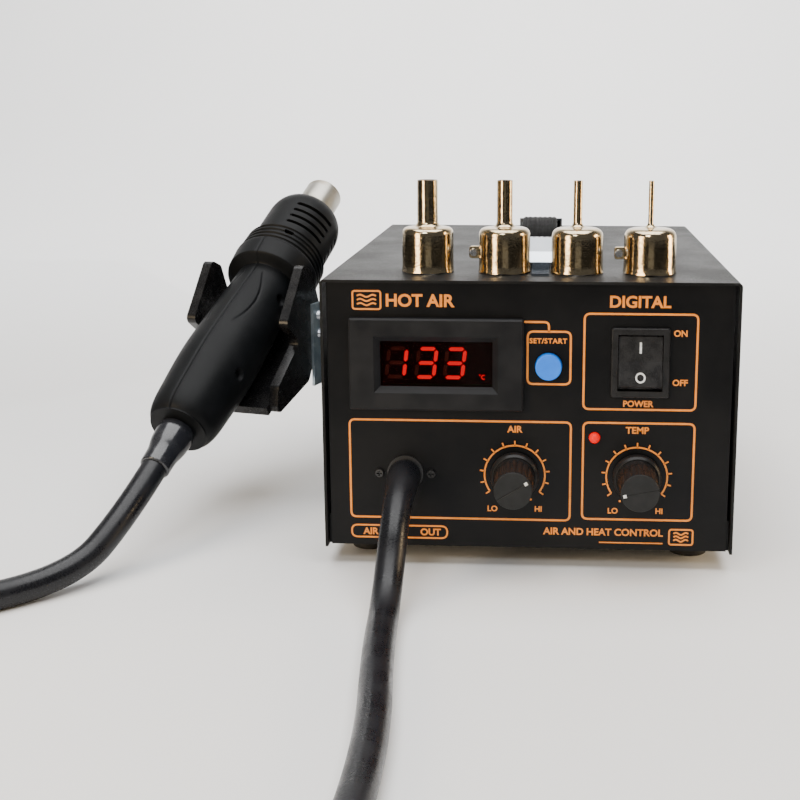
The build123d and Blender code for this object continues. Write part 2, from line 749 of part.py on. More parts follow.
# ---- hot-air gun --------------------------------------------------------------------------
with BuildPart() as handle_whole:
    with BuildSketch(gun_plane(0)):
        with BuildLine():
            Line((0, 0), (0, handle_tail_radius))
            Spline((0, handle_tail_radius), *handle_outline, (collar_start, handle_neck_radius),
                   tangents=((0.4, 1), (1, -0.02)))
            Polyline((collar_start, handle_neck_radius), (collar_start + collar_flare, collar_radius),
                     (handle_length - collar_edge, collar_radius),
                     (handle_length, collar_radius - collar_edge), (handle_length, 0), (0, 0))
        make_face()
    revolve(axis=gun_line)
    with BuildSketch(gun_plane(0)):
        with BuildLine():
            Line((handle_wall, 0), (handle_wall, handle_tail_radius - handle_wall))
            Spline((handle_wall, handle_tail_radius - handle_wall),
                   *[(t + 1, r - handle_wall) for t, r in handle_outline],
                   (collar_start, handle_neck_radius - handle_wall), tangents=((0.4, 1), (1, -0.02)))
            Polyline((collar_start, handle_neck_radius - handle_wall),
                     (collar_start + 2 * collar_flare, collar_radius - handle_wall),
                     (handle_length, collar_radius - handle_wall), (handle_length, 0), (handle_wall, 0))
        make_face()
    revolve(axis=gun_line, mode=Mode.SUBTRACT)
    for along, boss_reach in handle_screw_places:
        boss_plane = Plane(origin=gun_point(along, handle_screw_rise, 0), z_dir=gun_side)
        with BuildSketch(boss_plane):
            Circle(handle_boss_radius)
        extrude(amount=boss_reach, both=True)
        with BuildSketch(boss_plane.offset(handle_screw_seat)):
            Circle(m25_screw["head"] / 2 + fit_gap)
        extrude(amount=handle_length, mode=Mode.SUBTRACT)
        with BuildSketch(boss_plane.offset(handle_screw_seat)):
            Circle(m25_screw["shank"] / 2)
        extrude(amount=-handle_screw_length - fit_gap, mode=Mode.SUBTRACT)
    with BuildSketch(Plane(origin=gun_tail, z_dir=gun_axis)):
        Circle(bushing_neck_radius + running_gap)
    extrude(amount=2 * handle_wall, mode=Mode.SUBTRACT)

with BuildPart() as gun_handle_right:
    add(handle_whole.part)
    split(bisect_by=Plane(origin=gun_tail, z_dir=gun_side), keep=Keep.TOP)
finish(gun_handle_right, "gun_handle_right")

with BuildPart() as gun_handle_left:
    add(handle_whole.part)
    split(bisect_by=Plane(origin=gun_tail, z_dir=gun_side), keep=Keep.BOTTOM)
finish(gun_handle_left, "gun_handle_left")

handle_seats = [Plane(origin=gun_point(along, handle_screw_rise, handle_screw_seat), z_dir=gun_side)
                for along, _ in handle_screw_places]
gun_handle_screws = pan_head_screws(handle_seats, m25_screw, handle_screw_length)
finish(gun_handle_screws, "gun_handle_screws")

cap_start = handle_length
cap_end = handle_length + cap_length
cap_ring_end = cap_start + cap_ring_length


def cap_outline(shrink):
    """The vent cap's half section, moved inwards by shrink: a ring, a step, a tube and a round nose."""
    ring, tube, mouth = (radius - shrink for radius in (collar_radius, cap_radius, cap_mouth_radius))
    nose_start = cap_end - cap_nose_length
    nose_along, nose_drop = cap_nose_middle
    with BuildLine() as outline:
        Polyline((cap_start, 0), (cap_start, ring), (cap_ring_end - shrink, ring),
                 (cap_ring_end - shrink + 1, tube), (nose_start, tube))
        ThreePointArc((nose_start, tube), (cap_end - nose_along - shrink / 2, tube - nose_drop),
                      (cap_end - shrink, mouth))
        Polyline((cap_end - shrink, mouth), (cap_end - shrink, 0), (cap_start, 0))
    return outline.line


with BuildPart() as gun_vent_cap:
    with BuildSketch(gun_plane(0)):
        with BuildLine():
            add(cap_outline(0))
        make_face()
    revolve(axis=gun_line)
    with BuildSketch(gun_plane(0)):
        with BuildLine():
            add(cap_outline(cap_wall))
        make_face()
    revolve(axis=gun_line, mode=Mode.SUBTRACT)
    with BuildSketch(Plane(origin=gun_point(cap_end + 1, 0, 0), z_dir=gun_axis)):
        Circle(pipe_radius + fit_gap)
    extrude(amount=-2 * cap_wall, mode=Mode.SUBTRACT)
    for groove in cap_ring_grooves:
        with BuildSketch(gun_plane(0)):
            with Locations((cap_start + groove, collar_radius)):
                Rectangle(cap_groove_width, 2 * cap_groove_depth)
        revolve(axis=gun_line, mode=Mode.SUBTRACT)
    for place in cap_slot_places:
        for turn in cap_slot_turns:
            slot_side = gun_side.rotate(gun_line, turn)
            with BuildSketch(Plane(origin=gun_tail, x_dir=gun_axis, z_dir=slot_side)):
                with Locations((cap_start + place, cap_radius)):
                    Rectangle(cap_slot_width, 3 * cap_wall)
            revolve(axis=gun_line, revolution_arc=cap_slot_arc, mode=Mode.SUBTRACT)
finish(gun_vent_cap, "gun_vent_cap")

with BuildPart() as gun_pipe:
    with BuildSketch(Plane(origin=gun_point(pipe_start, 0, 0), z_dir=gun_axis)):
        Circle(pipe_seat_radius)
    extrude(amount=gun_length - pipe_start)
    with BuildSketch(Plane(origin=gun_point(gun_length, 0, 0), z_dir=gun_axis)):
        Circle(pipe_radius)
    extrude(amount=cap_end + fit_gap - gun_length)
    with BuildSketch(Plane(origin=gun_point(cap_start + 1, 0, 0), z_dir=gun_axis)):
        Circle(collar_radius - cap_wall - fit_gap)
    extrude(amount=pipe_flange)
    with BuildSketch(Plane(origin=gun_point(pipe_start, 0, 0), z_dir=gun_axis)):
        Circle(pipe_radius - pipe_wall)
    extrude(amount=gun_length - pipe_start, mode=Mode.SUBTRACT)
finish(gun_pipe, "gun_pipe")

with BuildPart() as heater_core:
    with BuildSketch(Plane(origin=gun_point(pipe_start - heater_back, 0, 0), z_dir=gun_axis)):
        Circle(heater_radius)
        with PolarLocations(heater_radius * 0.6, 6):
            Circle(heater_hole_radius, mode=Mode.SUBTRACT)
        Circle(heater_hole_radius, mode=Mode.SUBTRACT)
    extrude(amount=gun_length - heater_recess - pipe_start + heater_back)
finish(heater_core, "heater_core")

with BuildPart() as gun_hose_bushing:
    with BuildSketch(gun_plane(0)):
        with BuildLine():
            collar_end = handle_wall + bushing_collar[0]
            Polyline((0, 0), (collar_end, 0), (collar_end, bushing_collar[1]),
                     (handle_wall + running_gap, bushing_collar[1]),
                     (handle_wall + running_gap, bushing_neck_radius), (-fit_gap, bushing_neck_radius),
                     (-fit_gap, bushing_root_radius))
            Spline((-fit_gap, bushing_root_radius), *bushing_outline, (-bushing_length, bushing_end_radius),
                   tangents=((-1, 0.3), (-1, -0.1)))
            Polyline((-bushing_length, bushing_end_radius), (-bushing_length, 0), (0, 0))
        make_face()
    revolve(axis=gun_line)
finish(gun_hose_bushing, "gun_hose_bushing")

# ---- gun holder ---------------------------------------------------------------------------
holder_floor_end = collar_start - fit_gap
with BuildPart() as gun_holder:
    for wall_inner in (holder_half_gap, -holder_half_gap - holder_wall):
        with BuildSketch(gun_plane(wall_inner)) as holder_side:
            with BuildLine():
                Polyline(*holder_outline, close=True)
            make_face()
            fillet(holder_side.vertices(), holder_corner)
        extrude(amount=holder_wall)
    with BuildSketch(gun_plane(0)):
        with Locations((holder_floor_end, -holder_floor_drop)):
            Rectangle(holder_floor_end - holder_floor_start, holder_wall, align=(Align.MAX, Align.MAX))
    extrude(amount=holder_half_gap + fit_gap, both=True)
    with BuildSketch(gun_plane(0)):
        with Locations((holder_rib_place, -holder_floor_drop - holder_wall)):
            Rectangle(*holder_rib, align=(Align.CENTER, Align.MAX))
    extrude(amount=holder_half_gap + fit_gap, both=True)
    with BuildSketch(gun_plane(holder_half_gap)):
        with Locations(*holder_screw_places):
            Circle(m3_hole)
    extrude(amount=holder_wall, mode=Mode.SUBTRACT)
finish(gun_holder, "gun_holder")

bracket_case_x = -half_width - bracket_sheet / 2
bracket_plane_offset = holder_half_gap + holder_wall + bracket_sheet / 2
web_reach = bracket_plane_offset + sin(radians(gun_yaw)) * (bracket_web_y - gun_tail.Y)
bracket_corner = Vector(gun_tail.X + web_reach / cos(radians(gun_yaw)), bracket_web_y, 0)
bracket_toe = bracket_corner - gun_heading * bracket_holder_reach
with BuildPart() as holder_bracket:
    with BuildSketch(Plane.XY.offset(bracket_bottom)):
        with BuildLine():
            Polyline((bracket_case_x, bracket_web_y + bracket_case_reach), (bracket_case_x, bracket_web_y),
                     (bracket_corner.X, bracket_corner.Y), (bracket_toe.X, bracket_toe.Y))
        trace(line_width=bracket_sheet)
    extrude(amount=bracket_height)
    with BuildSketch(Plane.YZ):
        with Locations(*[(bracket_case_y, z) for z in bracket_hole_z]):
            Circle(m4_hole)
    extrude(amount=-half_width - 4, mode=Mode.SUBTRACT)
    with BuildSketch(gun_plane(holder_half_gap)):
        with Locations(*holder_screw_places):
            Circle(m3_hole)
    extrude(amount=holder_wall + 2 * bracket_sheet, mode=Mode.SUBTRACT)
finish(holder_bracket, "holder_bracket")

case_bracket_seats = [Plane(origin=(-half_width - bracket_sheet, bracket_case_y, z), z_dir=(-1, 0, 0))
                      for z in bracket_hole_z]
bracket_case_screws = pan_head_screws(case_bracket_seats, m4_screw, 8)
finish(bracket_case_screws, "bracket_case_screws")

holder_seats = [Plane(origin=gun_point(along, up, holder_half_gap + holder_wall + bracket_sheet),
                      z_dir=gun_side) for along, up in holder_screw_places]
holder_screws = pan_head_screws(holder_seats, m3_screw, 4)
finish(holder_screws, "holder_screws")

# ---- carrying strap -----------------------------------------------------------------------
side_plane = Plane(origin=(strap_x, 0, case_top), x_dir=(0, 1, 0), z_dir=(1, 0, 0))
strap_top = strap_lift + strap_thickness
with BuildPart() as carry_strap:
    with BuildSketch(side_plane):
        with BuildLine():
            Line((-strap_end, strap_top), (-strap_flat_start, strap_top))
            ThreePointArc((-strap_flat_start, strap_top), (0, strap_top + strap_rise),
                          (strap_flat_start, strap_top))
            Polyline((strap_flat_start, strap_top), (strap_end, strap_top), (strap_end, strap_lift),
                     (strap_flat_start, strap_lift))
            ThreePointArc((strap_flat_start, strap_lift), (0, strap_lift + strap_rise),
                          (-strap_flat_start, strap_lift))
            Polyline((-strap_flat_start, strap_lift), (-strap_end, strap_lift), (-strap_end, strap_top))
        make_face()
    extrude(amount=strap_width / 2, both=True)
    with BuildSketch(Plane.XY.offset(case_top)):
        with Locations((strap_x, -strap_screw_y), (strap_x, strap_screw_y)):
            Circle(m4_hole)
    extrude(amount=strap_top, mode=Mode.SUBTRACT)
finish(carry_strap, "carry_strap")


def strap_end_cap(side):
    """The formed metal cap over one end of the strap, open underneath and towards the strap."""
    inner, outer, wall = strap_cap_inner_y, strap_cap_outer_y, strap_cap_wall
    (_, edge), (bend_reach, bend_rise), (flat_reach, flat_rise) = strap_cap_outline
    with BuildPart() as cap:
        with BuildSketch(side_plane):
            with BuildLine():
                Polyline((side * outer, 0), (side * outer, edge), (side * (outer - bend_reach), bend_rise),
                         (side * (outer - flat_reach), flat_rise), (side * inner, flat_rise),
                         (side * inner, 0), close=True)
            make_face()
        extrude(amount=strap_cap_width / 2, both=True)
        with BuildSketch(side_plane):
            with BuildLine():
                Polyline((side * (outer - wall), 0), (side * (outer - wall), edge - wall / 2),
                         (side * (outer - bend_reach), bend_rise - wall),
                         (side * (outer - flat_reach), flat_rise - wall), (side * inner, flat_rise - wall),
                         (side * inner, 0), close=True)
            make_face()
        extrude(amount=strap_cap_width / 2 - wall, both=True, mode=Mode.SUBTRACT)
        with BuildSketch(Plane.XY.offset(case_top)):
            with Locations((strap_toe_x, side * (outer - wall + strap_toe_length / 2))):
                Rectangle(strap_toe_width, strap_toe_length)
        extrude(amount=strap_toe_thickness)
    return cap


finish(strap_end_cap(-1), "strap_cap_front")
finish(strap_end_cap(1), "strap_cap_back")

strap_seats = [Plane(origin=(strap_x, y, case_top + strap_top), z_dir=(0, 0, 1))
               for y in (-strap_screw_y, strap_screw_y)]
strap_screws = pan_head_screws(strap_seats, m4_screw, 9)
finish(strap_screws, "strap_screws")


# ---- nozzles ------------------------------------------------------------------------------
nozzle_bottom = case_top + fit_gap


def nozzle(x, tube_diameter):
    """A bell that slips over the gun's pipe, a dome and a straight tube, with a slit clamp."""
    tube = tube_diameter / 2
    upright = front_plane(x, nozzle_row_y, nozzle_bottom)
    bell, bore = nozzle_bell_radius, nozzle_bore_radius
    wall = bell - bore
    top_wall = min(nozzle_tube_wall, tube / 2)
    flare, lip, lip_end = nozzle_lip
    shoulder = nozzle_bell_height - nozzle_shoulder
    inner_shoulder = shoulder - 0.5
    ear = nozzle_slit / 2 + nozzle_lug_thickness
    with BuildPart() as body:
        with BuildSketch(upright):
            with BuildLine():
                Polyline((0, 0), (bell + flare, 0), (bell + flare, lip), (bell, lip_end), (bell, shoulder))
                ThreePointArc((bell, shoulder), (bell * 0.78, nozzle_dome_height - nozzle_shoulder - 0.2),
                              (tube + 1, nozzle_dome_height))
                Polyline((tube + 1, nozzle_dome_height), (tube, nozzle_dome_height + nozzle_shoulder),
                         (tube, nozzle_height), (0, nozzle_height), (0, 0))
            make_face()
        revolve(axis=Axis((x, nozzle_row_y, 0), (0, 0, 1)))
        with BuildSketch(upright):
            with BuildLine():
                Polyline((0, 0), (bore, 0), (bore, inner_shoulder))
                ThreePointArc((bore, inner_shoulder), (bore * 0.76, nozzle_dome_height - 2.2 - wall),
                              (tube - top_wall, nozzle_dome_height - wall))
                Polyline((tube - top_wall, nozzle_dome_height - wall), (tube - top_wall, nozzle_height),
                         (0, nozzle_height), (0, 0))
            make_face()
        revolve(axis=Axis((x, nozzle_row_y, 0), (0, 0, 1)), mode=Mode.SUBTRACT)
        with BuildSketch(front_plane(x, nozzle_row_y, nozzle_bottom + nozzle_lug_height)):
            with Locations((-bell + 0.3, 0)):
                Rectangle(nozzle_lug_reach, nozzle_lug_width, align=(Align.MAX, Align.CENTER))
        extrude(amount=ear, both=True)
        with BuildSketch(front_plane(x, nozzle_row_y, nozzle_bottom)):
            with Locations((-bore + 1, 0)):
                Rectangle(10, nozzle_slit_height, align=(Align.MAX, Align.MIN))
        extrude(amount=nozzle_slit / 2, both=True, mode=Mode.SUBTRACT)
        with BuildSketch(front_plane(x, nozzle_row_y, nozzle_bottom + nozzle_lug_height)):
            with Locations((-bell - nozzle_screw_reach, 0)):
                Circle((m2_screw["shank"] + hole_clearance) / 2)
        extrude(amount=2 * ear, both=True, mode=Mode.SUBTRACT)
    return body


for size, (x, tube_diameter, clamp_turn) in nozzle_tubes.items():
    nozzle_line = Axis((x, nozzle_row_y, 0), (0, 0, 1))
    with BuildPart() as turned_nozzle:
        add(nozzle(x, tube_diameter).part.rotate(nozzle_line, clamp_turn))
    finish(turned_nozzle, f"nozzle_{size}")
    clamp_seat = front_plane(x - nozzle_bell_radius - nozzle_screw_reach,
                             nozzle_row_y - nozzle_slit / 2 - nozzle_lug_thickness,
                             nozzle_bottom + nozzle_lug_height)
    with BuildPart() as turned_screw:
        add(pan_head_screws([clamp_seat], m2_screw, nozzle_screw_length).part.rotate(nozzle_line, clamp_turn))
    finish(turned_screw, f"nozzle_{size}_screw")

# ---- mains inlet --------------------------------------------------------------------------
with BuildPart() as mains_inlet:
    with BuildSketch(rear_plane(inlet_x, rear_outside, inlet_z)):
        SlotOverall(inlet_screw_spacing + 10, inlet_height + 3)
        with GridLocations(inlet_screw_spacing, 0, 2, 1):
            Circle(m3_hole, mode=Mode.SUBTRACT)
    extrude(amount=inlet_flange)
    with BuildSketch(rear_plane(inlet_x, rear_outside, inlet_z)):
        Rectangle(inlet_width, inlet_height)
    extrude(amount=-inlet_depth)
    with BuildSketch(rear_plane(inlet_x, rear_outside + inlet_flange, inlet_z)):
        RectangleRounded(inlet_width - inlet_socket_margin[0], inlet_height - inlet_socket_margin[1], 3)
    extrude(amount=-inlet_socket_depth, mode=Mode.SUBTRACT)
finish(mains_inlet, "mains_inlet")

with BuildPart() as inlet_pins:
    with BuildSketch(rear_plane(inlet_x, rear_outside - inlet_pin_depth, inlet_z)):
        with Locations(*inlet_pin_places):
            Rectangle(*inlet_pin_size)
    extrude(amount=inlet_pin_length)
finish(inlet_pins, "inlet_pins")

# ---- inside the case ----------------------------------------------------------------------
pump_front = pump_y - pump_depth / 2
with BuildPart() as air_pump:
    with BuildSketch(Plane.XY.offset(pump_bottom)):
        with Locations((pump_x, pump_y)):
            RectangleRounded(pump_width, pump_depth, pump_corner)
    extrude(amount=pump_height)
    with BuildSketch(front_plane(pump_outlet_x, pump_front, pump_outlet_z)):
        Circle(air_tube_diameter / 2)
    extrude(amount=pump_outlet_length)
finish(air_pump, "air_pump")

with BuildPart() as pump_mounts:
    with BuildSketch(Plane.XY.offset(base_top)):
        with Locations((pump_x, pump_y)):
            with GridLocations(pump_width - 4 * pump_mount_radius, pump_depth - 4 * pump_mount_radius, 2, 2):
                Circle(pump_mount_radius)
    extrude(amount=pump_mount_height)
finish(pump_mounts, "pump_mounts")

tube_route = [
    Vector(gland_x, panel_back + gland_spigot, dial_z),
    Vector(gland_x, panel_back + gland_spigot + air_tube_straight, dial_z),
    Vector(pump_outlet_x, pump_front - pump_outlet_length - air_tube_straight, pump_outlet_z),
    Vector(pump_outlet_x, pump_front - pump_outlet_length, pump_outlet_z),
]
air_tube = round_tube(tube_route, air_tube_diameter)
finish(air_tube, "air_tube")

with BuildPart() as control_board:
    with BuildSketch(Plane.XY.offset(board_bottom)):
        with Locations((board_x, board_y)):
            Rectangle(board_width, board_depth)
    extrude(amount=board_thickness)
finish(control_board, "control_board")

with BuildPart() as board_standoffs:
    with BuildSketch(Plane.XY.offset(base_top)):
        with Locations((board_x, board_y)):
            with GridLocations(board_width - 2 * board_hole_inset, board_depth - 2 * board_hole_inset, 2, 2):
                RegularPolygon(standoff_radius, 6)
    extrude(amount=standoff_height)
finish(board_standoffs, "board_standoffs")

with BuildPart() as power_transformer:
    with BuildSketch(Plane.XY.offset(board_bottom + board_thickness)):
        with Locations((board_x + board_width / 4, board_y + board_depth / 4)):
            Rectangle(*transformer_size[:2])
    extrude(amount=transformer_size[2])
    chamfer(power_transformer.edges().filter_by(Axis.Z), 2)
finish(power_transformer, "power_transformer")

with BuildPart() as heat_sink:
    with BuildSketch(Plane.XY.offset(board_bottom + board_thickness)):
        with Locations((board_x - board_width / 4, board_y - board_depth / 6)):
            Rectangle(*heat_sink_web[:2])
            with GridLocations(0, heat_sink_pitch, 1, heat_sink_fins):
                Rectangle(*heat_sink_fin)
    extrude(amount=heat_sink_web[2])
finish(heat_sink, "heat_sink")
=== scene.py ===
"""How a bench hot-air rework station looks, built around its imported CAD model.

Metres, +Z up, and the front panel faces -Y. The camera and the hose come first, then the finishes,
the shared shapes, and each piece in its own section.
"""
import json
import math

import bmesh
import bpy
import numpy as np
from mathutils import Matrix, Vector


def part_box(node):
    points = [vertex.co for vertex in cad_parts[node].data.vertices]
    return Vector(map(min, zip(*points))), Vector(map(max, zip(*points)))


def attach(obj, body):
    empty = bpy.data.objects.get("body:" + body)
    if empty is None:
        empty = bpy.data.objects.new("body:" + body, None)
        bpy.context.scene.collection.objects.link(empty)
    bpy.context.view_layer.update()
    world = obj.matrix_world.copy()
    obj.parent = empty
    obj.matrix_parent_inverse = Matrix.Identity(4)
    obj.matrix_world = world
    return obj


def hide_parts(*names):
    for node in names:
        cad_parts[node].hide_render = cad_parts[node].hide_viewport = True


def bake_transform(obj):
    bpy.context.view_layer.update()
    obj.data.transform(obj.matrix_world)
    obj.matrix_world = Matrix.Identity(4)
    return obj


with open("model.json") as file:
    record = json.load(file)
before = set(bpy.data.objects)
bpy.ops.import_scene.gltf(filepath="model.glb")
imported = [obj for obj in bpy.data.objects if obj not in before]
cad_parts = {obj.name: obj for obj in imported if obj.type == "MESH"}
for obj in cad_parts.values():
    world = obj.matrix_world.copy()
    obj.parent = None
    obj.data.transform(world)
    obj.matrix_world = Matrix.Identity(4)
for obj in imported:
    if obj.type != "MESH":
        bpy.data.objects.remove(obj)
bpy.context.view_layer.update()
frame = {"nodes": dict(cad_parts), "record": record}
mm = 0.001
scene = bpy.context.scene


def middle(node):
    """The middle of a CAD node's box."""
    low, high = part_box(node)
    return (low + high) / 2


# ---- camera ----
camera_spot = (0.0116, -0.672, 0.2142)
camera_turn = math.radians(3.46)
camera_dip = math.radians(11.43)
lens = bpy.data.cameras.new("camera")
lens.lens = 56.6
lens.shift_x = -0.1
lens.shift_y = -0.0625
camera = bpy.data.objects.new("camera", lens)
camera.location = camera_spot
camera.rotation_euler = (math.pi / 2 - camera_dip, 0, camera_turn)
scene.collection.objects.link(camera)
scene.camera = camera

# ---- hose route ----
hose_width = 12.5 * mm
hose_rest = hose_width / 2 + 0.05 * mm
hose_route = [
    (-0.056, -0.1163, 0.0446), (-0.056, -0.149, 0.0446), (-0.0575, -0.180, hose_rest),
    (-0.0545, -0.228, hose_rest), (-0.046, -0.300, hose_rest), (-0.048, -0.375, hose_rest),
    (-0.082, -0.440, hose_rest), (-0.150, -0.475, hose_rest), (-0.225, -0.462, hose_rest),
    (-0.283, -0.410, hose_rest), (-0.310, -0.338, hose_rest), (-0.295, -0.265, hose_rest),
    (-0.246, -0.203, hose_rest), (-0.199, -0.161, hose_rest),
    (-0.18377, -0.13411, 0.02579), (-0.17726, -0.10939, 0.04091),
]


def spline_points(route, resolution):
    """Points read from an open NURBS curve of order 3 whose control points are the route."""
    curve = bpy.data.curves.new("hose_line", "CURVE")
    curve.dimensions = "3D"
    curve.resolution_u = resolution
    spline = curve.splines.new("NURBS")
    spline.points.add(len(route) - 1)
    for point, place in zip(spline.points, route):
        point.co = (*place, 1)
    spline.order_u = 3
    spline.use_endpoint_u = True
    holder = bpy.data.objects.new("hose_line", curve)
    line = bpy.data.meshes.new_from_object(holder)
    points = np.array([vertex.co for vertex in line.vertices])
    bpy.data.objects.remove(holder)
    return points


def unit(vectors):
    """Vectors of length one, along the last axis."""
    return vectors / np.linalg.norm(vectors, axis=-1, keepdims=True)


hose_line = spline_points(hose_route, 24)

# ---- finishes ----


def node(tree, kind, inputs=None, **settings):
    """One shader node: settings are its properties, inputs are values or other nodes' sockets."""
    made = tree.nodes.new(kind)
    for key, value in settings.items():
        setattr(made, key, value)
    for key, value in (inputs or {}).items():
        if isinstance(value, bpy.types.NodeSocket):
            tree.links.new(value, made.inputs[key])
        else:
            made.inputs[key].default_value = value
    return made


def noise(tree, coords, size, detail=3.0):
    """Noise of that grain size in metres."""
    inputs = {"Vector": coords, "Scale": 1 / size, "Detail": detail}
    return node(tree, "ShaderNodeTexNoise", inputs).outputs["Fac"]


def spread(tree, value, low, high, inside=(0.35, 0.65)):
    """A value carried from its inside range to the range from low to high."""
    inputs = {"Value": value, "From Min": inside[0], "From Max": inside[1], "To Min": low, "To Max": high}
    return node(tree, "ShaderNodeMapRange", inputs).outputs["Result"]


def blend_colour(tree, share, first, second):
    """A mix of two colours."""
    mixed = node(tree, "ShaderNodeMix", {"Factor": share}, data_type="RGBA")
    for socket, colour in zip((mixed.inputs[6], mixed.inputs[7]), (first, second)):
        if isinstance(colour, bpy.types.NodeSocket):
            tree.links.new(colour, socket)
        else:
            socket.default_value = (*colour, 1)
    return mixed.outputs[2]


def new_finish(name):
    """An empty material, its tree, its shader and the object coordinates."""
    made = bpy.data.materials.new(name)
    made.use_nodes = True
    tree = made.node_tree
    shader = tree.nodes["Principled BSDF"]
    coords = node(tree, "ShaderNodeTexCoord").outputs["Object"]
    return made, tree, shader, coords


def finish_with(tree, shader, colour, roughness, height, depth, metallic):
    """Gives the shader its colour, its roughness, a bump of that depth, and how metallic it is."""
    bump = node(tree, "ShaderNodeBump", {"Height": height, "Distance": depth, "Strength": 1.0})
    tree.links.new(colour, shader.inputs["Base Color"])
    tree.links.new(roughness, shader.inputs["Roughness"])
    tree.links.new(bump.outputs["Normal"], shader.inputs["Normal"])
    shader.inputs["Metallic"].default_value = metallic


def surface(name, colour, worn, roughness, metallic=0.0, patch=9.0, grain=0.5, depth=0.03,
            uneven=0.06, coat=0.0, stretch=(1, 1, 1), shine=0.5):
    """A finish that drifts from colour to worn in patches, with uneven gloss and a fine bumped grain.

    Patch, grain and depth are in millimetres, and stretch pulls the grain out along an axis.
    """
    made, tree, shader, coords = new_finish(name)
    drawn = node(tree, "ShaderNodeMapping", {"Vector": coords, "Scale": stretch}).outputs["Vector"]
    drift = noise(tree, coords, patch * mm, 5.0)
    fine = noise(tree, drawn, grain * mm, 2.0)
    tint = blend_colour(tree, spread(tree, drift, 0, 1), colour, worn)
    speck = spread(tree, fine, -0.5 * uneven, 0.5 * uneven)
    gloss = spread(tree, drift, roughness - uneven / 2, roughness + uneven / 2)
    both = node(tree, "ShaderNodeMath", {0: gloss, 1: speck}, operation="ADD").outputs[0]
    finish_with(tree, shader, tint, both, fine, depth * mm, metallic)
    shader.inputs["Coat Weight"].default_value = coat
    shader.inputs["Coat Roughness"].default_value = 0.12
    shader.inputs["Specular IOR Level"].default_value = shine
    return made


def glowing(name, colour, worn, roughness, light, strength, alpha=1.0):
    """A smooth plastic that may give light or let it through."""
    made = surface(name, colour, worn, roughness, grain=0.8, depth=0.004, uneven=0.03, shine=0.2)
    shader = made.node_tree.nodes["Principled BSDF"]
    shader.inputs["Emission Color"].default_value = (*light, 1)
    shader.inputs["Emission Strength"].default_value = strength
    shader.inputs["Alpha"].default_value = alpha
    return made


powder_coat = surface("textured_powder_coat", (0.009, 0.009, 0.0095), (0.016, 0.016, 0.016), 0.46, patch=30,
                      grain=0.55, depth=0.13, uneven=0.1, shine=0.1)
panel_paint = surface("satin_panel_paint", (0.0055, 0.0058, 0.0065), (0.0085, 0.0085, 0.009), 0.36,
                      patch=22, grain=0.35, depth=0.02, uneven=0.07, shine=0.13)
orange_ink = surface("orange_ink", (0.95, 0.30, 0.025), (0.85, 0.25, 0.018), 0.5, patch=3, grain=0.2,
                     depth=0.01)
white_ink = surface("white_ink", (0.8, 0.82, 0.82), (0.66, 0.68, 0.68), 0.45, patch=1.5, grain=0.2,
                    depth=0.01)
bezel_plastic = surface("grained_bezel_plastic", (0.009, 0.0095, 0.011), (0.015, 0.0155, 0.017), 0.4,
                        patch=12, grain=0.3, depth=0.05, uneven=0.12, stretch=(1, 1, 3), shine=0.15)
blue_plastic = surface("blue_button_plastic", (0.0, 0.19, 0.95), (0.0, 0.22, 1.0), 0.5, patch=5, grain=0.4,
                       depth=0.006)
switch_plastic = surface("switch_plastic", (0.012, 0.012, 0.0125), (0.017, 0.017, 0.018), 0.3, patch=8,
                         grain=0.4, depth=0.012, uneven=0.08, shine=0.25)
rocker_plastic = surface("pebbled_rocker_plastic", (0.015, 0.015, 0.016), (0.024, 0.024, 0.025), 0.3,
                         patch=5, grain=0.45, depth=0.07, uneven=0.14, shine=0.22)
knob_plastic = surface("knob_plastic", (0.011, 0.011, 0.0115), (0.017, 0.016, 0.016), 0.33, patch=5,
                       grain=0.3, depth=0.012, uneven=0.1, shine=0.22)
knob_face = surface("knob_face_plastic", (0.017, 0.018, 0.019), (0.022, 0.023, 0.024), 0.55, patch=5,
                    grain=0.25, depth=0.02, shine=0.15)
gun_plastic = surface("gun_plastic", (0.004, 0.0046, 0.0052), (0.0065, 0.007, 0.008), 0.46, patch=14,
                      grain=0.4, depth=0.03, uneven=0.08, shine=0.11)
holder_plastic = surface("holder_plastic", (0.006, 0.006, 0.0066), (0.011, 0.0105, 0.0105), 0.27, patch=10,
                         grain=0.6, depth=0.006, uneven=0.07, shine=0.3)
hose_rubber = surface("hose_rubber", (0.006, 0.0065, 0.0085), (0.011, 0.0115, 0.014), 0.33, patch=16,
                      grain=0.9, depth=0.012, uneven=0.14, shine=0.3)
bushing_rubber = surface("glossy_bushing_rubber", (0.012, 0.013, 0.017), (0.02, 0.021, 0.025), 0.2, patch=9,
                         grain=1.4, depth=0.02, uneven=0.1, coat=0.3)
strap_rubber = surface("strap_rubber", (0.002, 0.002, 0.0022), (0.004, 0.004, 0.004), 0.55, patch=7,
                       grain=0.5, depth=0.03, uneven=0.1, shine=0.02)
foot_rubber = surface("foot_rubber", (0.010, 0.010, 0.010), (0.02, 0.019, 0.018), 0.62, patch=4, grain=0.4,
                      depth=0.03)
mirror_chrome = surface("mirror_chrome", (0.6, 0.64, 0.7), (0.52, 0.57, 0.64), 0.08, metallic=1.0, patch=12,
                        grain=0.5, depth=0.004, uneven=0.05, stretch=(4, 1, 1))
bright_zinc = surface("bright_zinc", (0.62, 0.64, 0.68), (0.5, 0.52, 0.56), 0.28, metallic=1.0, patch=2.5,
                      grain=0.2, depth=0.01, uneven=0.1)
black_oxide = surface("black_oxide", (0.03, 0.03, 0.032), (0.06, 0.058, 0.055), 0.32, metallic=0.8,
                      patch=1.5, grain=0.2, depth=0.01, uneven=0.12)
brass = surface("brass", (0.72, 0.5, 0.2), (0.6, 0.4, 0.16), 0.3, metallic=1.0, patch=3, grain=0.3,
                depth=0.008)
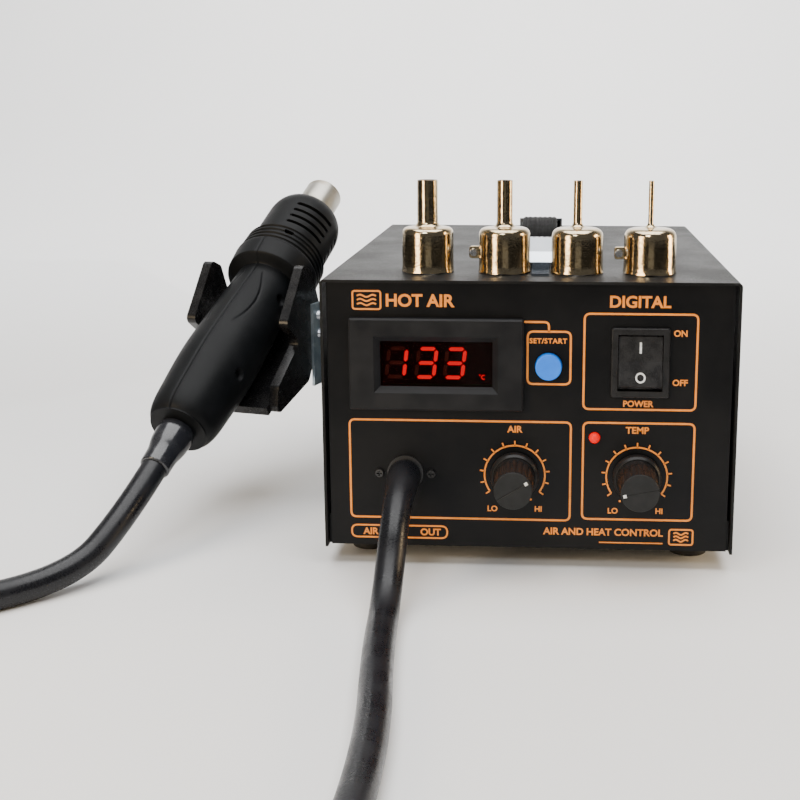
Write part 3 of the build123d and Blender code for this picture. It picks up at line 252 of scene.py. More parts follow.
board_green = surface("board_green", (0.012, 0.11, 0.035), (0.02, 0.15, 0.05), 0.35, patch=6, grain=0.4,
                      depth=0.02, coat=0.2)
pump_casting = surface("pump_casting", (0.24, 0.25, 0.26), (0.32, 0.33, 0.34), 0.5, metallic=0.7, patch=10,
                       grain=0.8, depth=0.1, uneven=0.14)
laminations = surface("laminations", (0.13, 0.13, 0.135), (0.2, 0.19, 0.18), 0.45, metallic=0.6, patch=6,
                      grain=0.5, depth=0.05, stretch=(0.05, 0.05, 1))
anodised = surface("anodised_aluminium", (0.6, 0.61, 0.63), (0.68, 0.69, 0.7), 0.35, metallic=1.0, patch=6,
                   grain=0.3, depth=0.01, stretch=(0.1, 1, 1))
ceramic = surface("heater_ceramic", (0.62, 0.55, 0.45), (0.42, 0.34, 0.26), 0.75, patch=3, grain=0.4,
                  depth=0.06)
silicone = surface("clear_silicone", (0.62, 0.62, 0.58), (0.7, 0.7, 0.66), 0.35, patch=8, grain=0.9,
                   depth=0.01)
inside_plastic = surface("inside_plastic", (0.02, 0.02, 0.021), (0.03, 0.03, 0.03), 0.5, patch=6, grain=0.4,
                         depth=0.03)
module_face = surface("module_face", (0.0014, 0.0012, 0.0012), (0.002, 0.0016, 0.0016), 0.7, patch=20,
                      grain=1.0, depth=0.002, shine=0.05)
window_filter = glowing("red_filter_window", (0.006, 0.0006, 0.0006), (0.008, 0.0008, 0.0006), 0.07,
                        (0, 0, 0), 0.0, alpha=0.42)
lit_segment = glowing("lit_segment", (0.6, 0.01, 0.002), (0.6, 0.01, 0.002), 0.5, (1.0, 0.0, 0.008), 2.3)
dark_segment = glowing("dark_segment", (0.06, 0.015, 0.01), (0.08, 0.02, 0.012), 0.5, (1.0, 0.05, 0.01),
                       0.035)
lamp_red = glowing("lamp_red", (0.8, 0.002, 0.001), (0.85, 0.004, 0.002), 0.16, (1.0, 0.0, 0.0), 0.42)


def warm_nickel():
    """Nickel plate with a warm tint, clouded patches and fine pits."""
    made, tree, shader, coords = new_finish("warm_nickel")
    clouds = noise(tree, coords, 7 * mm, 4.0)
    pits = noise(tree, coords, 0.9 * mm, 6.0)
    tint = blend_colour(tree, spread(tree, clouds, 0, 1), (0.68, 0.53, 0.32), (0.5, 0.4, 0.26))
    stained = blend_colour(tree, spread(tree, pits, 0, 0.5, (0.56, 0.7)), tint, (0.14, 0.09, 0.045))
    gloss = spread(tree, pits, 0.07, 0.24, (0.4, 0.7))
    finish_with(tree, shader, stained, gloss, pits, 0.05 * mm, 1.0)
    return made


def spangled_zinc():
    """Galvanised sheet: pale bluish crystals of slightly different grey."""
    made, tree, shader, coords = new_finish("spangled_zinc")
    crystals = node(tree, "ShaderNodeTexVoronoi", {"Vector": coords, "Scale": 1 / (4 * mm)}, feature="F1")
    shade = node(tree, "ShaderNodeSeparateColor", {"Color": crystals.outputs["Color"]}).outputs[0]
    tint = blend_colour(tree, shade, (0.36, 0.44, 0.5), (0.56, 0.64, 0.68))
    rough = spread(tree, shade, 0.3, 0.48, (0, 1))
    tree.links.new(tint, shader.inputs["Base Color"])
    tree.links.new(rough, shader.inputs["Roughness"])
    shader.inputs["Metallic"].default_value = 0.9
    return made


def heat_tinted_steel(axis, origin, start, end):
    """Brushed steel along an axis, with straw and brown heat colours towards the end of the pipe."""
    made, tree, shader, coords = new_finish("heat_tinted_steel")
    offset = node(tree, "ShaderNodeVectorMath", {0: coords, 1: tuple(origin)}, operation="SUBTRACT")
    facing = {0: offset.outputs[0], 1: tuple(axis)}
    along = node(tree, "ShaderNodeVectorMath", facing, operation="DOT_PRODUCT")
    blur = spread(tree, noise(tree, coords, 6 * mm, 4.0), -3 * mm, 3 * mm)
    place = node(tree, "ShaderNodeMath", {0: along.outputs["Value"], 1: blur}, operation="ADD").outputs[0]
    share = spread(tree, place, 0, 1, (start, end))
    ramp = node(tree, "ShaderNodeValToRGB", {"Fac": share})
    stops = [(0.0, (0.42, 0.3, 0.17)), (0.45, (0.44, 0.42, 0.36)),
             (0.8, (0.47, 0.455, 0.41)), (1.0, (0.36, 0.31, 0.24))]
    for spot, colour in stops[1:-1]:
        ramp.color_ramp.elements.new(spot)
    for element, (spot, colour) in zip(ramp.color_ramp.elements, stops):
        element.position = spot
        element.color = (*colour, 1)
    lines = noise(tree, coords, 0.5 * mm, 3.0)
    gloss = spread(tree, lines, 0.28, 0.42)
    finish_with(tree, shader, ramp.outputs["Color"], gloss, lines, 0.02 * mm, 0.9)
    return made


nickel = warm_nickel()
zinc_sheet = spangled_zinc()

# ---- shared shapes ----


def built(name, points, faces, finish, body="root", crease=38.0):
    """A mesh piece that rides on a body, if one is given: doubles are merged, faces turned outwards.

    Edges that turn by more than crease degrees stay sharp.
    """
    mesh = bpy.data.meshes.new(name)
    places = np.asarray(points, float).reshape(-1, 3).tolist()
    mesh.from_pydata(places, [], [tuple(face) for face in faces])
    shell = bmesh.new()
    shell.from_mesh(mesh)
    bmesh.ops.remove_doubles(shell, verts=shell.verts, dist=1e-7)
    bmesh.ops.dissolve_degenerate(shell, edges=shell.edges, dist=1e-8)
    bmesh.ops.recalc_face_normals(shell, faces=shell.faces)
    shell.to_mesh(mesh)
    shell.free()
    mesh.shade_smooth()
    mesh.set_sharp_from_angle(angle=math.radians(crease))
    mesh.materials.append(finish)
    piece = bpy.data.objects.new(name, mesh)
    scene.collection.objects.link(piece)
    if body:
        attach(piece, body)
    return piece


def cells(rows, columns, ring=True):
    """The four corner numbers of each cell of a grid, whose columns may close into a ring."""
    row = np.arange(rows - 1)[:, None]
    column = np.arange(columns if ring else columns - 1)[None, :]
    after = (column + 1) % columns
    here, above = row * columns, (row + 1) * columns
    return np.stack([here + column, here + after, above + after, above + column], -1)


def pierced(outer, inner, kept):
    """A wall between two grids of rings, open where a cell isn't kept, with every rim closed.

    Each kept cell gives one face on both grids, and each side of it that has no kept neighbour
    gives a face that joins the two grids.
    """
    rows, columns = outer.shape[:2]
    count = rows * columns
    corner = cells(rows, columns)
    below = np.vstack([np.zeros((1, columns), bool), kept[:-1]])
    above = np.vstack([kept[1:], np.zeros((1, columns), bool)])
    faces = [corner[kept], corner[kept][:, ::-1] + count]
    sides = [(kept & ~below, 0, 1), (kept & ~above, 2, 3),
             (kept & ~np.roll(kept, 1, 1), 3, 0), (kept & ~np.roll(kept, -1, 1), 1, 2)]
    for open_side, first, second in sides:
        edge = corner[open_side][:, [first, second]]
        faces.append(np.hstack([edge, edge[:, ::-1] + count]))
    return np.concatenate([outer.reshape(-1, 3), inner.reshape(-1, 3)]), np.concatenate(faces)


def rounded(corners, steps=5):
    """Points along a line of (x, y, reach) corners, each turned by a parabola that starts reach before."""
    corners = np.array(corners, float)
    places, reaches = corners[:, :2], corners[:, 2]
    share = np.linspace(0, 1, steps)[:, None]
    line = [places[:1]]
    for before, here, after, reach in zip(places, places[1:], places[2:], reaches[1:]):
        back, ahead = before - here, after - here
        reach = min(reach, 0.49 * np.linalg.norm(back), 0.49 * np.linalg.norm(ahead))
        line.append(here + reach * (unit(back) * (1 - share) ** 2 + unit(ahead) * share ** 2))
    return np.concatenate(line + [places[-1:]])


def inset(profile, thickness):
    """The profile moved towards the axis side by a thickness, square to itself."""
    heading = unit(np.gradient(profile, axis=0))
    return profile + np.stack([heading[:, 1], -heading[:, 0]], -1) * np.reshape(thickness, (-1, 1))


class Lathe:
    """Turns profiles of (along, radius), in millimetres, about a line.

    A point is base + along * axis + radius * spoke.
    """

    def __init__(self, base, axis, side, columns=96):
        """Where the line starts, where it heads, where the first spoke points, and how many there are."""
        self.base, self.axis, self.side = (np.array(v, float) for v in (base, axis, side))
        self.up = np.cross(self.side, self.axis)
        self.angles = np.linspace(0, 2 * math.pi, columns, endpoint=False)

    def rings(self, along, radius):
        """A grid of points. Along and radius are one value a row, or one for each point of the grid."""
        along, radius = (np.broadcast_to(np.reshape(v, (len(v), -1)), (len(v), len(self.angles)))
                         for v in (along, radius))
        spoke = np.cos(self.angles)[:, None] * self.side + np.sin(self.angles)[:, None] * self.up
        return self.base + mm * (along[..., None] * self.axis + radius[..., None] * spoke)

    def solid(self, name, profile, finish, body="root", crease=38.0):
        """A turned solid from a profile that starts and ends on the axis, or closes on itself."""
        grid = self.rings(profile[:, 0], profile[:, 1])
        return built(name, grid, cells(*grid.shape[:2]).reshape(-1, 4), finish, body, crease)


def prism(outline, depth, bevel=0.0):
    """Points and faces of a flat shape in (x, y), from z = 0 to depth, its front edge bevelled."""
    outline = np.array(outline, float)
    count = len(outline)
    heading = unit(np.roll(outline, -1, 0) - np.roll(outline, 1, 0))
    inward = np.stack([-heading[:, 1], heading[:, 0]], -1)
    area = np.sum(outline[:, 0] * np.roll(outline[:, 1], -1) - outline[:, 1] * np.roll(outline[:, 0], -1))
    inner = outline + inward * bevel * np.sign(area)
    rings = [(outline, 0.0), (outline, depth - bevel), (inner, depth)]
    points = np.concatenate([np.column_stack([ring, np.full(count, z)]) for ring, z in rings])
    faces = [tuple(range(count)), tuple(range(2 * count, 3 * count))]
    faces += [tuple(face) for face in cells(3, count).reshape(-1, 4)]
    return points, faces


def ribbon(line, width, depth, ring=False):
    """A flat strip of that width along a line in (x, y), from z = 0 to depth."""
    line = np.array(line, float)
    if ring:
        heading = unit(np.roll(line, -1, 0) - np.roll(line, 1, 0))
    else:
        heading = unit(np.gradient(line, axis=0))
    across = np.stack([-heading[:, 1], heading[:, 0]], -1) * width / 2
    rows = [np.column_stack([line + side * across, np.full(len(line), z)])
            for side, z in ((1, 0), (1, depth), (-1, depth), (-1, 0))]
    grid = np.stack(rows, 1)
    if ring:
        grid = np.concatenate([grid, grid[:1]])
        return grid.reshape(-1, 3), [tuple(face) for face in cells(len(grid), 4).reshape(-1, 4)]
    last = 4 * (len(line) - 1)
    ends = [(0, 1, 2, 3), (last, last + 1, last + 2, last + 3)]
    return grid.reshape(-1, 3), [tuple(face) for face in cells(len(grid), 4).reshape(-1, 4)] + ends


def gathered(parts):
    """Points and faces of several shapes as one."""
    points, faces, count = [], [], 0
    for part_points, part_faces in parts:
        points.append(np.asarray(part_points))
        faces += [tuple(int(number) + count for number in face) for face in part_faces]
        count += len(part_points)
    return np.concatenate(points), faces


def on_front(points, y):
    """Points drawn flat, x across and y up, stood on a face at y that looks towards the front."""
    points = np.asarray(points)
    return np.stack([points[:, 0], y - points[:, 2], points[:, 1]], -1)


def box_line(left, right, bottom, top, corner):
    """A closed line round a box with rounded corners, each corner a parabola."""
    middle_x = (left + right) / 2
    corners = [(middle_x, bottom, 0), (right, bottom, corner), (right, top, corner), (left, top, corner),
               (left, bottom, corner), (middle_x, bottom, 0)]
    return rounded(corners, 7)[:-1]


def arc_line(x, z, radius, start, end, steps=40):
    """Points on a circle from one angle to another, in degrees from +X."""
    angles = np.radians(np.linspace(start, end, steps))
    return np.stack([x + radius * np.cos(angles), z + radius * np.sin(angles)], -1)


def letters(words, x, z, height, spacing=1.0):
    """Points and faces of plain capitals, centred on (x, z). Places and height are in millimetres."""
    capital_share, weight = 0.72, 0.03
    text = bpy.data.curves.new("letters", "FONT")
    text.body = words
    text.size = height * mm / capital_share
    text.extrude = ink / 2
    text.offset = weight * text.size
    text.space_character = spacing
    text.align_x = "CENTER"
    text.resolution_u = 4
    holder = bpy.data.objects.new("letters", text)
    flat = bpy.data.meshes.new_from_object(holder)
    points = np.array([vertex.co for vertex in flat.vertices])
    faces = [tuple(face.vertices) for face in flat.polygons]
    bpy.data.objects.remove(holder)
    centre = (points.min(0) + points.max(0))[:2] / 2
    return points + (x * mm - centre[0], z * mm - centre[1], ink / 2), faces


# ---- hose ----


def hose_tube(line, radius, columns=28):
    """A tube along a line: each ring stands square to the line, its spokes across and up from it.

    Just outside the gland it is thicker by the swell, which eases in over 1 mm and fades out again.
    """
    swell, start, end, fade = 1.4 * mm, 5.3 * mm, 40 * mm, 32 * mm
    gone = np.concatenate([[0], np.cumsum(np.linalg.norm(np.diff(line, axis=0), axis=1))])
    root = np.clip((gone - start) / (1 * mm), 0, 1) * np.clip((end - gone) / fade, 0, 1)
    radius = radius + swell * (root * root * (3 - 2 * root))[:, None, None]
    heading = unit(np.gradient(line, axis=0))
    across = unit(np.cross(heading, (0, 0, 1)))[:, None]
    up = np.cross(across, heading[:, None])
    angles = np.linspace(0, 2 * math.pi, columns, endpoint=False)[:, None]
    return line[:, None] + radius * (np.cos(angles) * across + np.sin(angles) * up)


hose_rings = hose_tube(hose_line, hose_width / 2)
hose_wall = 2.5 * mm
hose_bore = hose_tube(hose_line, hose_width / 2 - hose_wall)
whole = np.ones((len(hose_line) - 1, hose_rings.shape[1]), bool)
hose_points, hose_faces = pierced(hose_rings, hose_bore, whole)
hose = built("air_hose", hose_points, hose_faces, hose_rubber, body=None)
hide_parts("hose")
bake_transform(hose)

# ---- front panel print ----
ink = 0.06 * mm
line_width = 0.95 * mm
panel_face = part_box("front_panel")[0].y
air_dial, temp_dial = middle("air_knob"), middle("temp_knob")
switch_spot = middle("power_switch_frame")
dial_height = air_dial.z
scale_start, scale_end = -35, 215


def dial_scale(x, z):
    """A ring of 13 ticks round a dial, with a dot at each end of the travel."""
    radius, tick = 13.8 * mm, 2.2 * mm
    parts = [ribbon(arc_line(x, z, radius, scale_start, scale_end), line_width * 0.8, ink)]
    for turn in np.linspace(scale_start, scale_end, 13):
        ends = [arc_line(x, z, radius + reach, turn, turn, 1)[0] for reach in (0, tick)]
        parts.append(ribbon(ends, line_width * 0.7, ink))
    for turn in (scale_start - 22.5, scale_end + 22.5):
        spot = arc_line(x, z, radius, turn, turn, 1)[0]
        parts.append(prism(arc_line(*spot, 0.5 * mm, 0, 330, 12), ink))
    return parts


def framed(left, right, bottom, top, corner=2.6, width=line_width):
    """A rounded frame line. Its sides and corner are in millimetres."""
    return ribbon(box_line(left, right, bottom, top, corner) * mm, width, ink, ring=True)


def wave_badge(left, right, bottom, top):
    """A small box with three waves in it, each three half turns of a sine, in millimetres."""
    parts = [framed(left, right, bottom, top, 1.2, 0.8 * mm)]
    across = np.linspace(left + 2, right - 2, 33)
    for share in (0.27, 0.5, 0.73):
        height = bottom + share * (top - bottom) + 0.5 * np.sin(np.linspace(0, 3 * math.pi, 33))
        parts.append(ribbon(np.stack([across, height], -1) * mm, 0.75 * mm, ink))
    return parts


def panel_print():
    """Frames, scales and plain words, each a thin layer of ink that stands on the panel."""
    parts = [framed(-0.4, 18.8, 87.2, 111.2), framed(24.8, 74.8, 76.0, 119.5),
             framed(-81.4, 19.4, 23.2, 69.6), framed(25.0, 74.8, 24.2, 69.7)]
    bezel_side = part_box("display_bezel")[1].x / mm + 0.2
    link = rounded([(bezel_side, 115.5, 0), (9, 115.5, 2), (9, 111.1, 0)]) * mm
    parts.append(ribbon(link, line_width, ink))
    for dial in (air_dial, temp_dial):
        parts += dial_scale(dial.x, dial_height)
    words = [("AIR", -5.9, 66.1, 3.1), ("LO", -16.0, 28.3, 2.6), ("HI", 5.0, 28.5, 2.6),
             ("TEMP", 49.3, 66.4, 3.1), ("LO", 39.0, 28.3, 2.6), ("HI", 60.0, 28.5, 2.6),
             ("POWER", 49.4, 78.7, 2.8), ("ON", 67.3, 111.0, 2.8), ("OFF", 67.7, 88.6, 2.8),
             ("SET/START", 8.8, 107.0, 2.3, 1.12), ("HOT AIR", -48.5, 124.7, 5.6),
             ("DIGITAL", 49.3, 125.0, 5.2), ("AIR", -72.4, 16.3, 3.2), ("OUT", -44.6, 16.3, 3.2),
             ("AIR AND HEAT CONTROL", 34.7, 18.0, 3.3)]
    parts += [letters(*word) for word in words]
    parts.append(ribbon(np.array([(33.0, 13.0), (62.0, 13.0)]) * mm, 0.6 * mm, ink))
    parts.append(framed(-81.3, -36.9, 13.4, 19.2, 2.9, 0.8 * mm))
    parts += wave_badge(-78.9, -66.3, 120.6, 128.8) + wave_badge(64.9, 75.6, 12.6, 19.8)
    return gathered(parts)


ink_points, ink_faces = panel_print()
built("panel_print", on_front(ink_points, panel_face), ink_faces, orange_ink, crease=30)

# ---- display ----
digit_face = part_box("digit_module")[0].y
digit_height = 14.8 * mm
digit_bar = 1.7 * mm
digit_lean = 0.12
segments = {"top": (0, 1, True), "middle": (0, 0, True), "bottom": (0, -1, True),
            "right_top": (1, 0.5, False), "right_bottom": (1, -0.5, False),
            "left_top": (-1, 0.5, False), "left_bottom": (-1, -0.5, False)}
numeral = {"1": ("right_top", "right_bottom"),
           "3": ("top", "middle", "bottom", "right_top", "right_bottom")}


def segment(name, x, z):
    """One bar of a digit: a six-sided bar that leans to the right with height."""
    across, up, lying = segments[name]
    half_width, half_height = digit_height * 0.27, digit_height * 0.44
    length = (half_width if lying else half_height / 2) - digit_bar * 0.28
    point = digit_bar / 2
    bar = np.array([(-length, 0), (-length + point, point), (length - point, point),
                    (length, 0), (length - point, -point), (-length + point, -point)])
    if not lying:
        bar = bar[:, ::-1]
    bar = bar + (across * half_width, up * half_height)
    bar[:, 0] += bar[:, 1] * digit_lean
    return prism(bar + (x, z), 0.25 * mm)


display_height = middle("display_window").z
lit, unlit = [], []
digit_places = [(-59.6, "1"), (-46.1, "3"), (-33.2, "3")]
for place, figure in digit_places:
    for name in segments:
        (lit if name in numeral[figure] else unlit).append(segment(name, place * mm, display_height))
degree_x, degree_z = -20.2 * mm, display_height - 6.3 * mm
lit.append(ribbon(arc_line(degree_x, degree_z, 0.9 * mm, 55, 305, 16), 0.5 * mm, 0.25 * mm))
lit.append(prism(arc_line(degree_x - 1.7 * mm, degree_z + 1.0 * mm, 0.35 * mm, 0, 330, 10), 0.25 * mm))
lit_points, lit_faces = gathered(lit)
built("lit_segments", on_front(lit_points, digit_face), lit_faces, lit_segment, crease=30)
dark_points, dark_faces = gathered(unlit)
built("dark_segments", on_front(dark_points, digit_face), dark_faces, dark_segment, crease=30)

# ---- button, lamp and rocker marks ----
front = np.array((0, -1, 0))
right = np.array((1, 0, 0))


def set_button_piece():
    """The blue button: a turned stem and cap with a rounded rim and a barely hollow face."""
    low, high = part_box("set_button")
    spot = middle("set_button")
    stem, collar, cap = 1.5, 7.1, 5.9
    reach = (high.y - low.y) / mm
    collar_end = (high.y - panel_face) / mm - 1.8
    collar_start = collar_end - 1.2
    profile = rounded([(0, 0, 0), (0, stem, 0.2), (collar_start, stem, 0.2), (collar_start, collar, 0.2),
                       (collar_end, collar, 0.2), (collar_end, cap, 0.2), (reach, cap, 1.1),
                       (reach, 4.4, 0.6), (reach - 0.15, 3.6, 0.6), (reach - 0.22, 0, 0)])
    lathe = Lathe((spot.x, high.y, spot.z), front, right)
    piece = lathe.solid("blue_button", profile, blue_plastic, "set_button_body")
    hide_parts("set_button")


def lamp_lens():
    """The lamp: a collar under the panel and a domed lens."""
    low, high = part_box("heater_led")
    spot = middle("heater_led")
    reach = (high.y - low.y) / mm
    radius, collar = 2.5, 2.9
    turn = np.linspace(0, math.pi / 2, 14)
    dome = np.stack([reach - radius + radius * np.sin(turn), radius * np.cos(turn)], -1)
    profile = np.array([(0, 0), (0, collar), (5, collar), (5, radius), *dome])
    lathe = Lathe((spot.x, high.y, spot.z), front, right, 48)
    piece = lathe.solid("lamp_lens", profile, lamp_red)
    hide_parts("heater_led")


def rocker_marks():
    """A bar on the rocker's upper half and a ring on its lower half, laid onto its faces."""
    x, z = switch_spot.x, switch_spot.z
    ring = arc_line(x, z - 6.2 * mm, 1.9 * mm, 0, 352, 44)
    bar = [(x, z + 4.4 * mm), (x, z + 6.9 * mm), (x, z + 9.4 * mm)]
    points, faces = gathered([ribbon(ring, 0.75 * mm, ink, ring=True), ribbon(bar, 0.95 * mm, ink)])
    rocker = frame["nodes"]["power_rocker"]
    placed = []
    for across, up, lift in points:
        where = rocker.ray_cast(Vector((across, -1, up)), Vector((0, 1, 0)))[1]
        placed.append((across, where.y - lift - 0.01 * mm, up))
    built("rocker_marks", placed, faces, white_ink, "rocker_body", crease=30)


set_button_piece()
lamp_lens()
rocker_marks()

# ---- dials ----


def dial_pieces(dial, body, pointer_turn):
    """A knob and its face: a skirt with a dished ring, a barrel with ribs, and a flat face with a line.

    The barrel's radius swings with the angle, and fades into the skirt and the front edge. The face is a
    disc whose height dips along a line through its middle, and a lathe that faces front turns clockwise.
    """
    low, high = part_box(f"{dial}_knob")
    spot = middle(f"{dial}_knob")
    length, bore, rib_count = (high.y - low.y) / mm, 3.0, 18
    lathe = Lathe((spot.x, high.y, spot.z), front, right, 216)
    profile = rounded([(0, 7.7, 0), (0, 11, 0.3), (2.9, 10.9, 0.4), (4.3, 9.7, 0.3), (3.9, 9.3, 0.2),
                       (5.2, 8.9, 0.6), (length, 8.45, 0.4)], 6)
    barrel = np.column_stack([np.linspace(5.6, length - 0.7, 20), np.linspace(8.85, 8.5, 20)])
    skirt = profile[profile[:, 0] < 5.5]
    along, radius = np.concatenate([skirt, barrel, [(length, 8.35), (length, bore)]]).T
    rib = 0.5 + 0.5 * np.cos(rib_count * lathe.angles)
    depth = 0.55 * np.clip((along - 5.4) / 0.8, 0, 1) * (radius > 8.4)
    outer_grid = lathe.rings(along, radius[:, None] - depth[:, None] * rib ** 3)
    inner_grid = lathe.rings(np.minimum(along, length - 1.5), np.full(len(along), bore))
    whole = np.ones((len(along) - 1, len(lathe.angles)), bool)
    points, faces = pierced(outer_grid, inner_grid, whole)
    knob = built(f"{dial}_dial_knob", points, faces, knob_plastic, body)
    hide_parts(f"{dial}_knob")
    spokes = np.linspace(0, 8.2, 26)[:, None]
    away = spokes * np.sin(lathe.angles + math.radians(pointer_turn))
    face_top = 1.15 - 0.35 * np.exp(-(away / 0.28) ** 2)
    plate = Lathe((spot.x, low.y, spot.z), front, right, 216)
    top = plate.rings(face_top, np.broadcast_to(spokes, face_top.shape))
    grid = np.concatenate([top, plate.rings([0.95, 0.0, 0.0], [8.4, 8.4, 0.0])])
    faces = cells(*grid.shape[:2]).reshape(-1, 4)
    face = built(f"{dial}_dial_face", grid, faces, knob_face, body, crease=50)
    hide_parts(f"{dial}_knob_cap")
    dot_spot = arc_line(spot.x, spot.z, 6.7 * mm, pointer_turn, pointer_turn, 1)[0]
    dot = arc_line(*dot_spot, 1.04 * mm, pointer_turn + 45, pointer_turn + 315, 4)
    dot_points, dot_faces = prism(dot, 0.3 * mm, 0.1 * mm)
    built(f"{dial}_dial_dot", on_front(dot_points, low.y - 1.1 * mm), dot_faces, white_ink, body)


dial_pieces("air", "air_dial", 31)
dial_pieces("temp", "temp_dial", 192)

# ---- nozzles ----


def nozzle_piece(size, tube_width, clamp_turn):
    """A bell with a wavy lip, a rounded shoulder and a straight tube, slit where its clamp is.

    Its wall is a turned profile and the same profile moved inwards by the wall's thickness. Two ears
    stand beside the slit, held by the clamp screw.
    """
    low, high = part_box(f"nozzle_{size}")
    lip_reach = 12.3 * mm
    centre = np.array((high.x - lip_reach, low.y + lip_reach, low.z))
    bell, tube, slit_height = 11.9, tube_width / 2, 12.5
    facing = math.radians(180 - clamp_turn)
    outward = np.array((math.cos(facing), math.sin(facing), 0))
    across = np.array((-outward[1], outward[0], 0))
    lathe = Lathe(centre, (0, 0, 1), -outward, 144)
    profile = rounded([(0, bell + 0.35, 0), (1.2, bell + 0.15, 0.8), (3, bell, 1), (10, bell, 2),
                       (20.3, bell - 0.1, 4.2), (20.8, tube + 1.3, 1.2), (22.4, tube, 1.2),
                       (32, tube, 1), (42, tube, 0)], 9)
    wall = np.interp(profile[:, 0], [0, 20, 22], [0.8, 0.8, min(0.5, tube * 0.45)])
    inner = inset(profile, wall)
    inner[:, 1] = np.maximum(inner[:, 1], tube - wall[-1])
    fade = np.exp(-profile[:, :1] / 1.5)
    wave = 0.11 * (np.sin(7 * lathe.angles + tube_width) + 0.6 * np.sin(12 * lathe.angles))
    lift = 0.15 * fade * (1 + np.sin(7 * lathe.angles + 1.3 * tube_width))
    outer_grid, inner_grid = (lathe.rings(line[:, :1] + lift, line[:, 1:] + fade * wave)
                              for line in (profile, inner))
    kept = np.ones((len(profile) - 1, len(lathe.angles)), bool)
    slit = np.abs(lathe.angles + math.pi / len(lathe.angles) - math.pi) < 0.07
    kept[np.ix_(profile[:-1, 0] < slit_height, slit)] = False
    parts = [pierced(outer_grid, inner_grid, kept)]
    ear_line = rounded([(10.9, 6.2, 0), (16.3, 6.2, 1.4), (16.3, 11.9, 1.4), (10.9, 11.9, 0)])
    ear_points, ear_faces = prism(ear_line, 1.2, 0.15)
    for side in (-1, 1):
        placed = ear_points[:, :1] * outward + side * (0.6 + ear_points[:, 2:]) * across
        placed[:, 2] = ear_points[:, 1]
        parts.append((placed * mm + centre, ear_faces))
    points, faces = gathered(parts)
    piece = built(f"bell_nozzle_{size}", points, faces, nickel, f"nozzle_{size}_body", crease=45)
    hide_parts(f"nozzle_{size}")


for nozzle in (("large", 9.5, 90), ("medium", 7.2, 0), ("small", 4.0, 90), ("fine", 2.4, 0)):
    nozzle_piece(*nozzle)

# ---- hot-air gun ----
pipe_mount = next(m for m in frame["record"]["mounts"] if m["name"] == "gun_pipe_end")
mount_reach = 188.65 * mm
gun_axis = unit(np.array(pipe_mount["axis"], float))
gun_tail = np.array(pipe_mount["pos_m"]) - gun_axis * mount_reach
gun_side = unit(np.cross(gun_axis, (0, 0, 1)))
gun = Lathe(gun_tail, gun_axis, gun_side, 240)


def smooth_through(places, values, at):
    """A smooth curve through values at places: a cubic between two neighbours that keeps their slopes."""
    slopes = np.gradient(values, places)
    index = np.clip(np.searchsorted(places, at) - 1, 0, len(places) - 2)
    start, end = np.array(places)[index], np.array(places)[index + 1]
    span = end - start
    s = (at - start) / span
    first, second = np.array(values)[index], np.array(values)[index + 1]
    return ((1 + 2 * s) * (1 - s) ** 2 * first + s ** 2 * (3 - 2 * s) * second
            + s * (1 - s) ** 2 * span * slopes[index] + s ** 2 * (s - 1) * span * slopes[index + 1])


def handle_radius(along):
    """The handle's radius along its length, in millimetres: a swelling grip, then a flared collar."""
    grip = smooth_through([0, 8, 22, 45, 68, 88, 111], [16.0, 17.6, 18.7, 19.8, 19.2, 18.2, 17.0], along)
    tail = 3.0 * np.exp(-along / 1.6) - 1.6 * np.exp(-along / 0.5)
    flare = np.clip((along - 110.6) / 2.8, 0, 1)
    collar = 23.6 + 0.8 * np.clip((along - 113) / 10, 0, 1)
    collar = collar - 0.9 * np.clip((along - 124.6) / 1.4, 0, 1) ** 2
    eased = flare * flare * (3 - 2 * flare)
    return (grip - tail) * (1 - eased) + collar * eased


def handle_halves():
    """Two shells of the handle that meet on the upright plane through its axis.

    The outer radius is the handle's, less a V along the parting plane, a shallow curved grip line on
    each side, and a counterbore over each screw. Sizes are in millimetres.
    """
    along = np.concatenate([np.linspace(0, 10, 22), np.linspace(10.8, 109.6, 122),
                            np.linspace(110.2, 114, 14), np.linspace(115, 126, 20)])
    every_spoke = np.ones(len(gun.angles))
    radius = handle_radius(along)[:, None] * every_spoke
    upright = np.abs(radius * np.cos(gun.angles))
    radius = radius - 0.45 * np.exp(-(upright / 0.35) ** 2)
    line_start, line_end = 61.0, 104.0
    turn = smooth_through([line_start, 69.5, 80.2, 90.8, line_end], [70, 60, 54.5, 57, 70.0],
                          np.clip(along, line_start, line_end))
    shown = np.clip((along - line_start) / 3, 0, 1) * np.clip((line_end + 2 - along) / 2, 0, 1)
    for side in (1, -1):
        centre = np.radians(90 - side * (90 - turn))[:, None]
        away = radius * (gun.angles - centre)
        groove = 0.5 * np.exp(-(away / 0.45) ** 2)
        step = 0.22 * (0.5 - 0.5 * np.tanh(side * away / 0.5)) * np.exp(-np.abs(away) / 5)
        radius = radius - (groove + step) * shown[:, None]
    wall, bushing_seat, screw_rise, screw_head, screw_depth = 2.6, 7.95, 5, 2.9, 2.2
    inner = np.minimum(handle_radius(along) - wall, 21.6)[:, None] * every_spoke
    inner[along < wall] = bushing_seat
    for screw_place in (36.5, 95):
        up = radius * np.sin(gun.angles) - screw_rise
        distance = np.hypot(along[:, None] - screw_place, up)
        depth = screw_depth * np.clip((screw_head - distance) / 0.5, 0, 1)
        radius = np.where(np.cos(gun.angles) > 0, radius - depth, radius)
    outer_grid, inner_grid = gun.rings(along, radius), gun.rings(along, inner)
    cell_turn = np.cos(gun.angles + math.pi / len(gun.angles))
    for name, kept_side in (("right", cell_turn > 0), ("left", cell_turn < 0)):
        kept = np.broadcast_to(kept_side, (len(along) - 1, len(gun.angles)))
        points, faces = pierced(outer_grid, inner_grid, kept)
        piece = built(f"handle_half_{name}", points, faces, gun_plastic, "gun", crease=50)
        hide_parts(f"gun_handle_{name}")


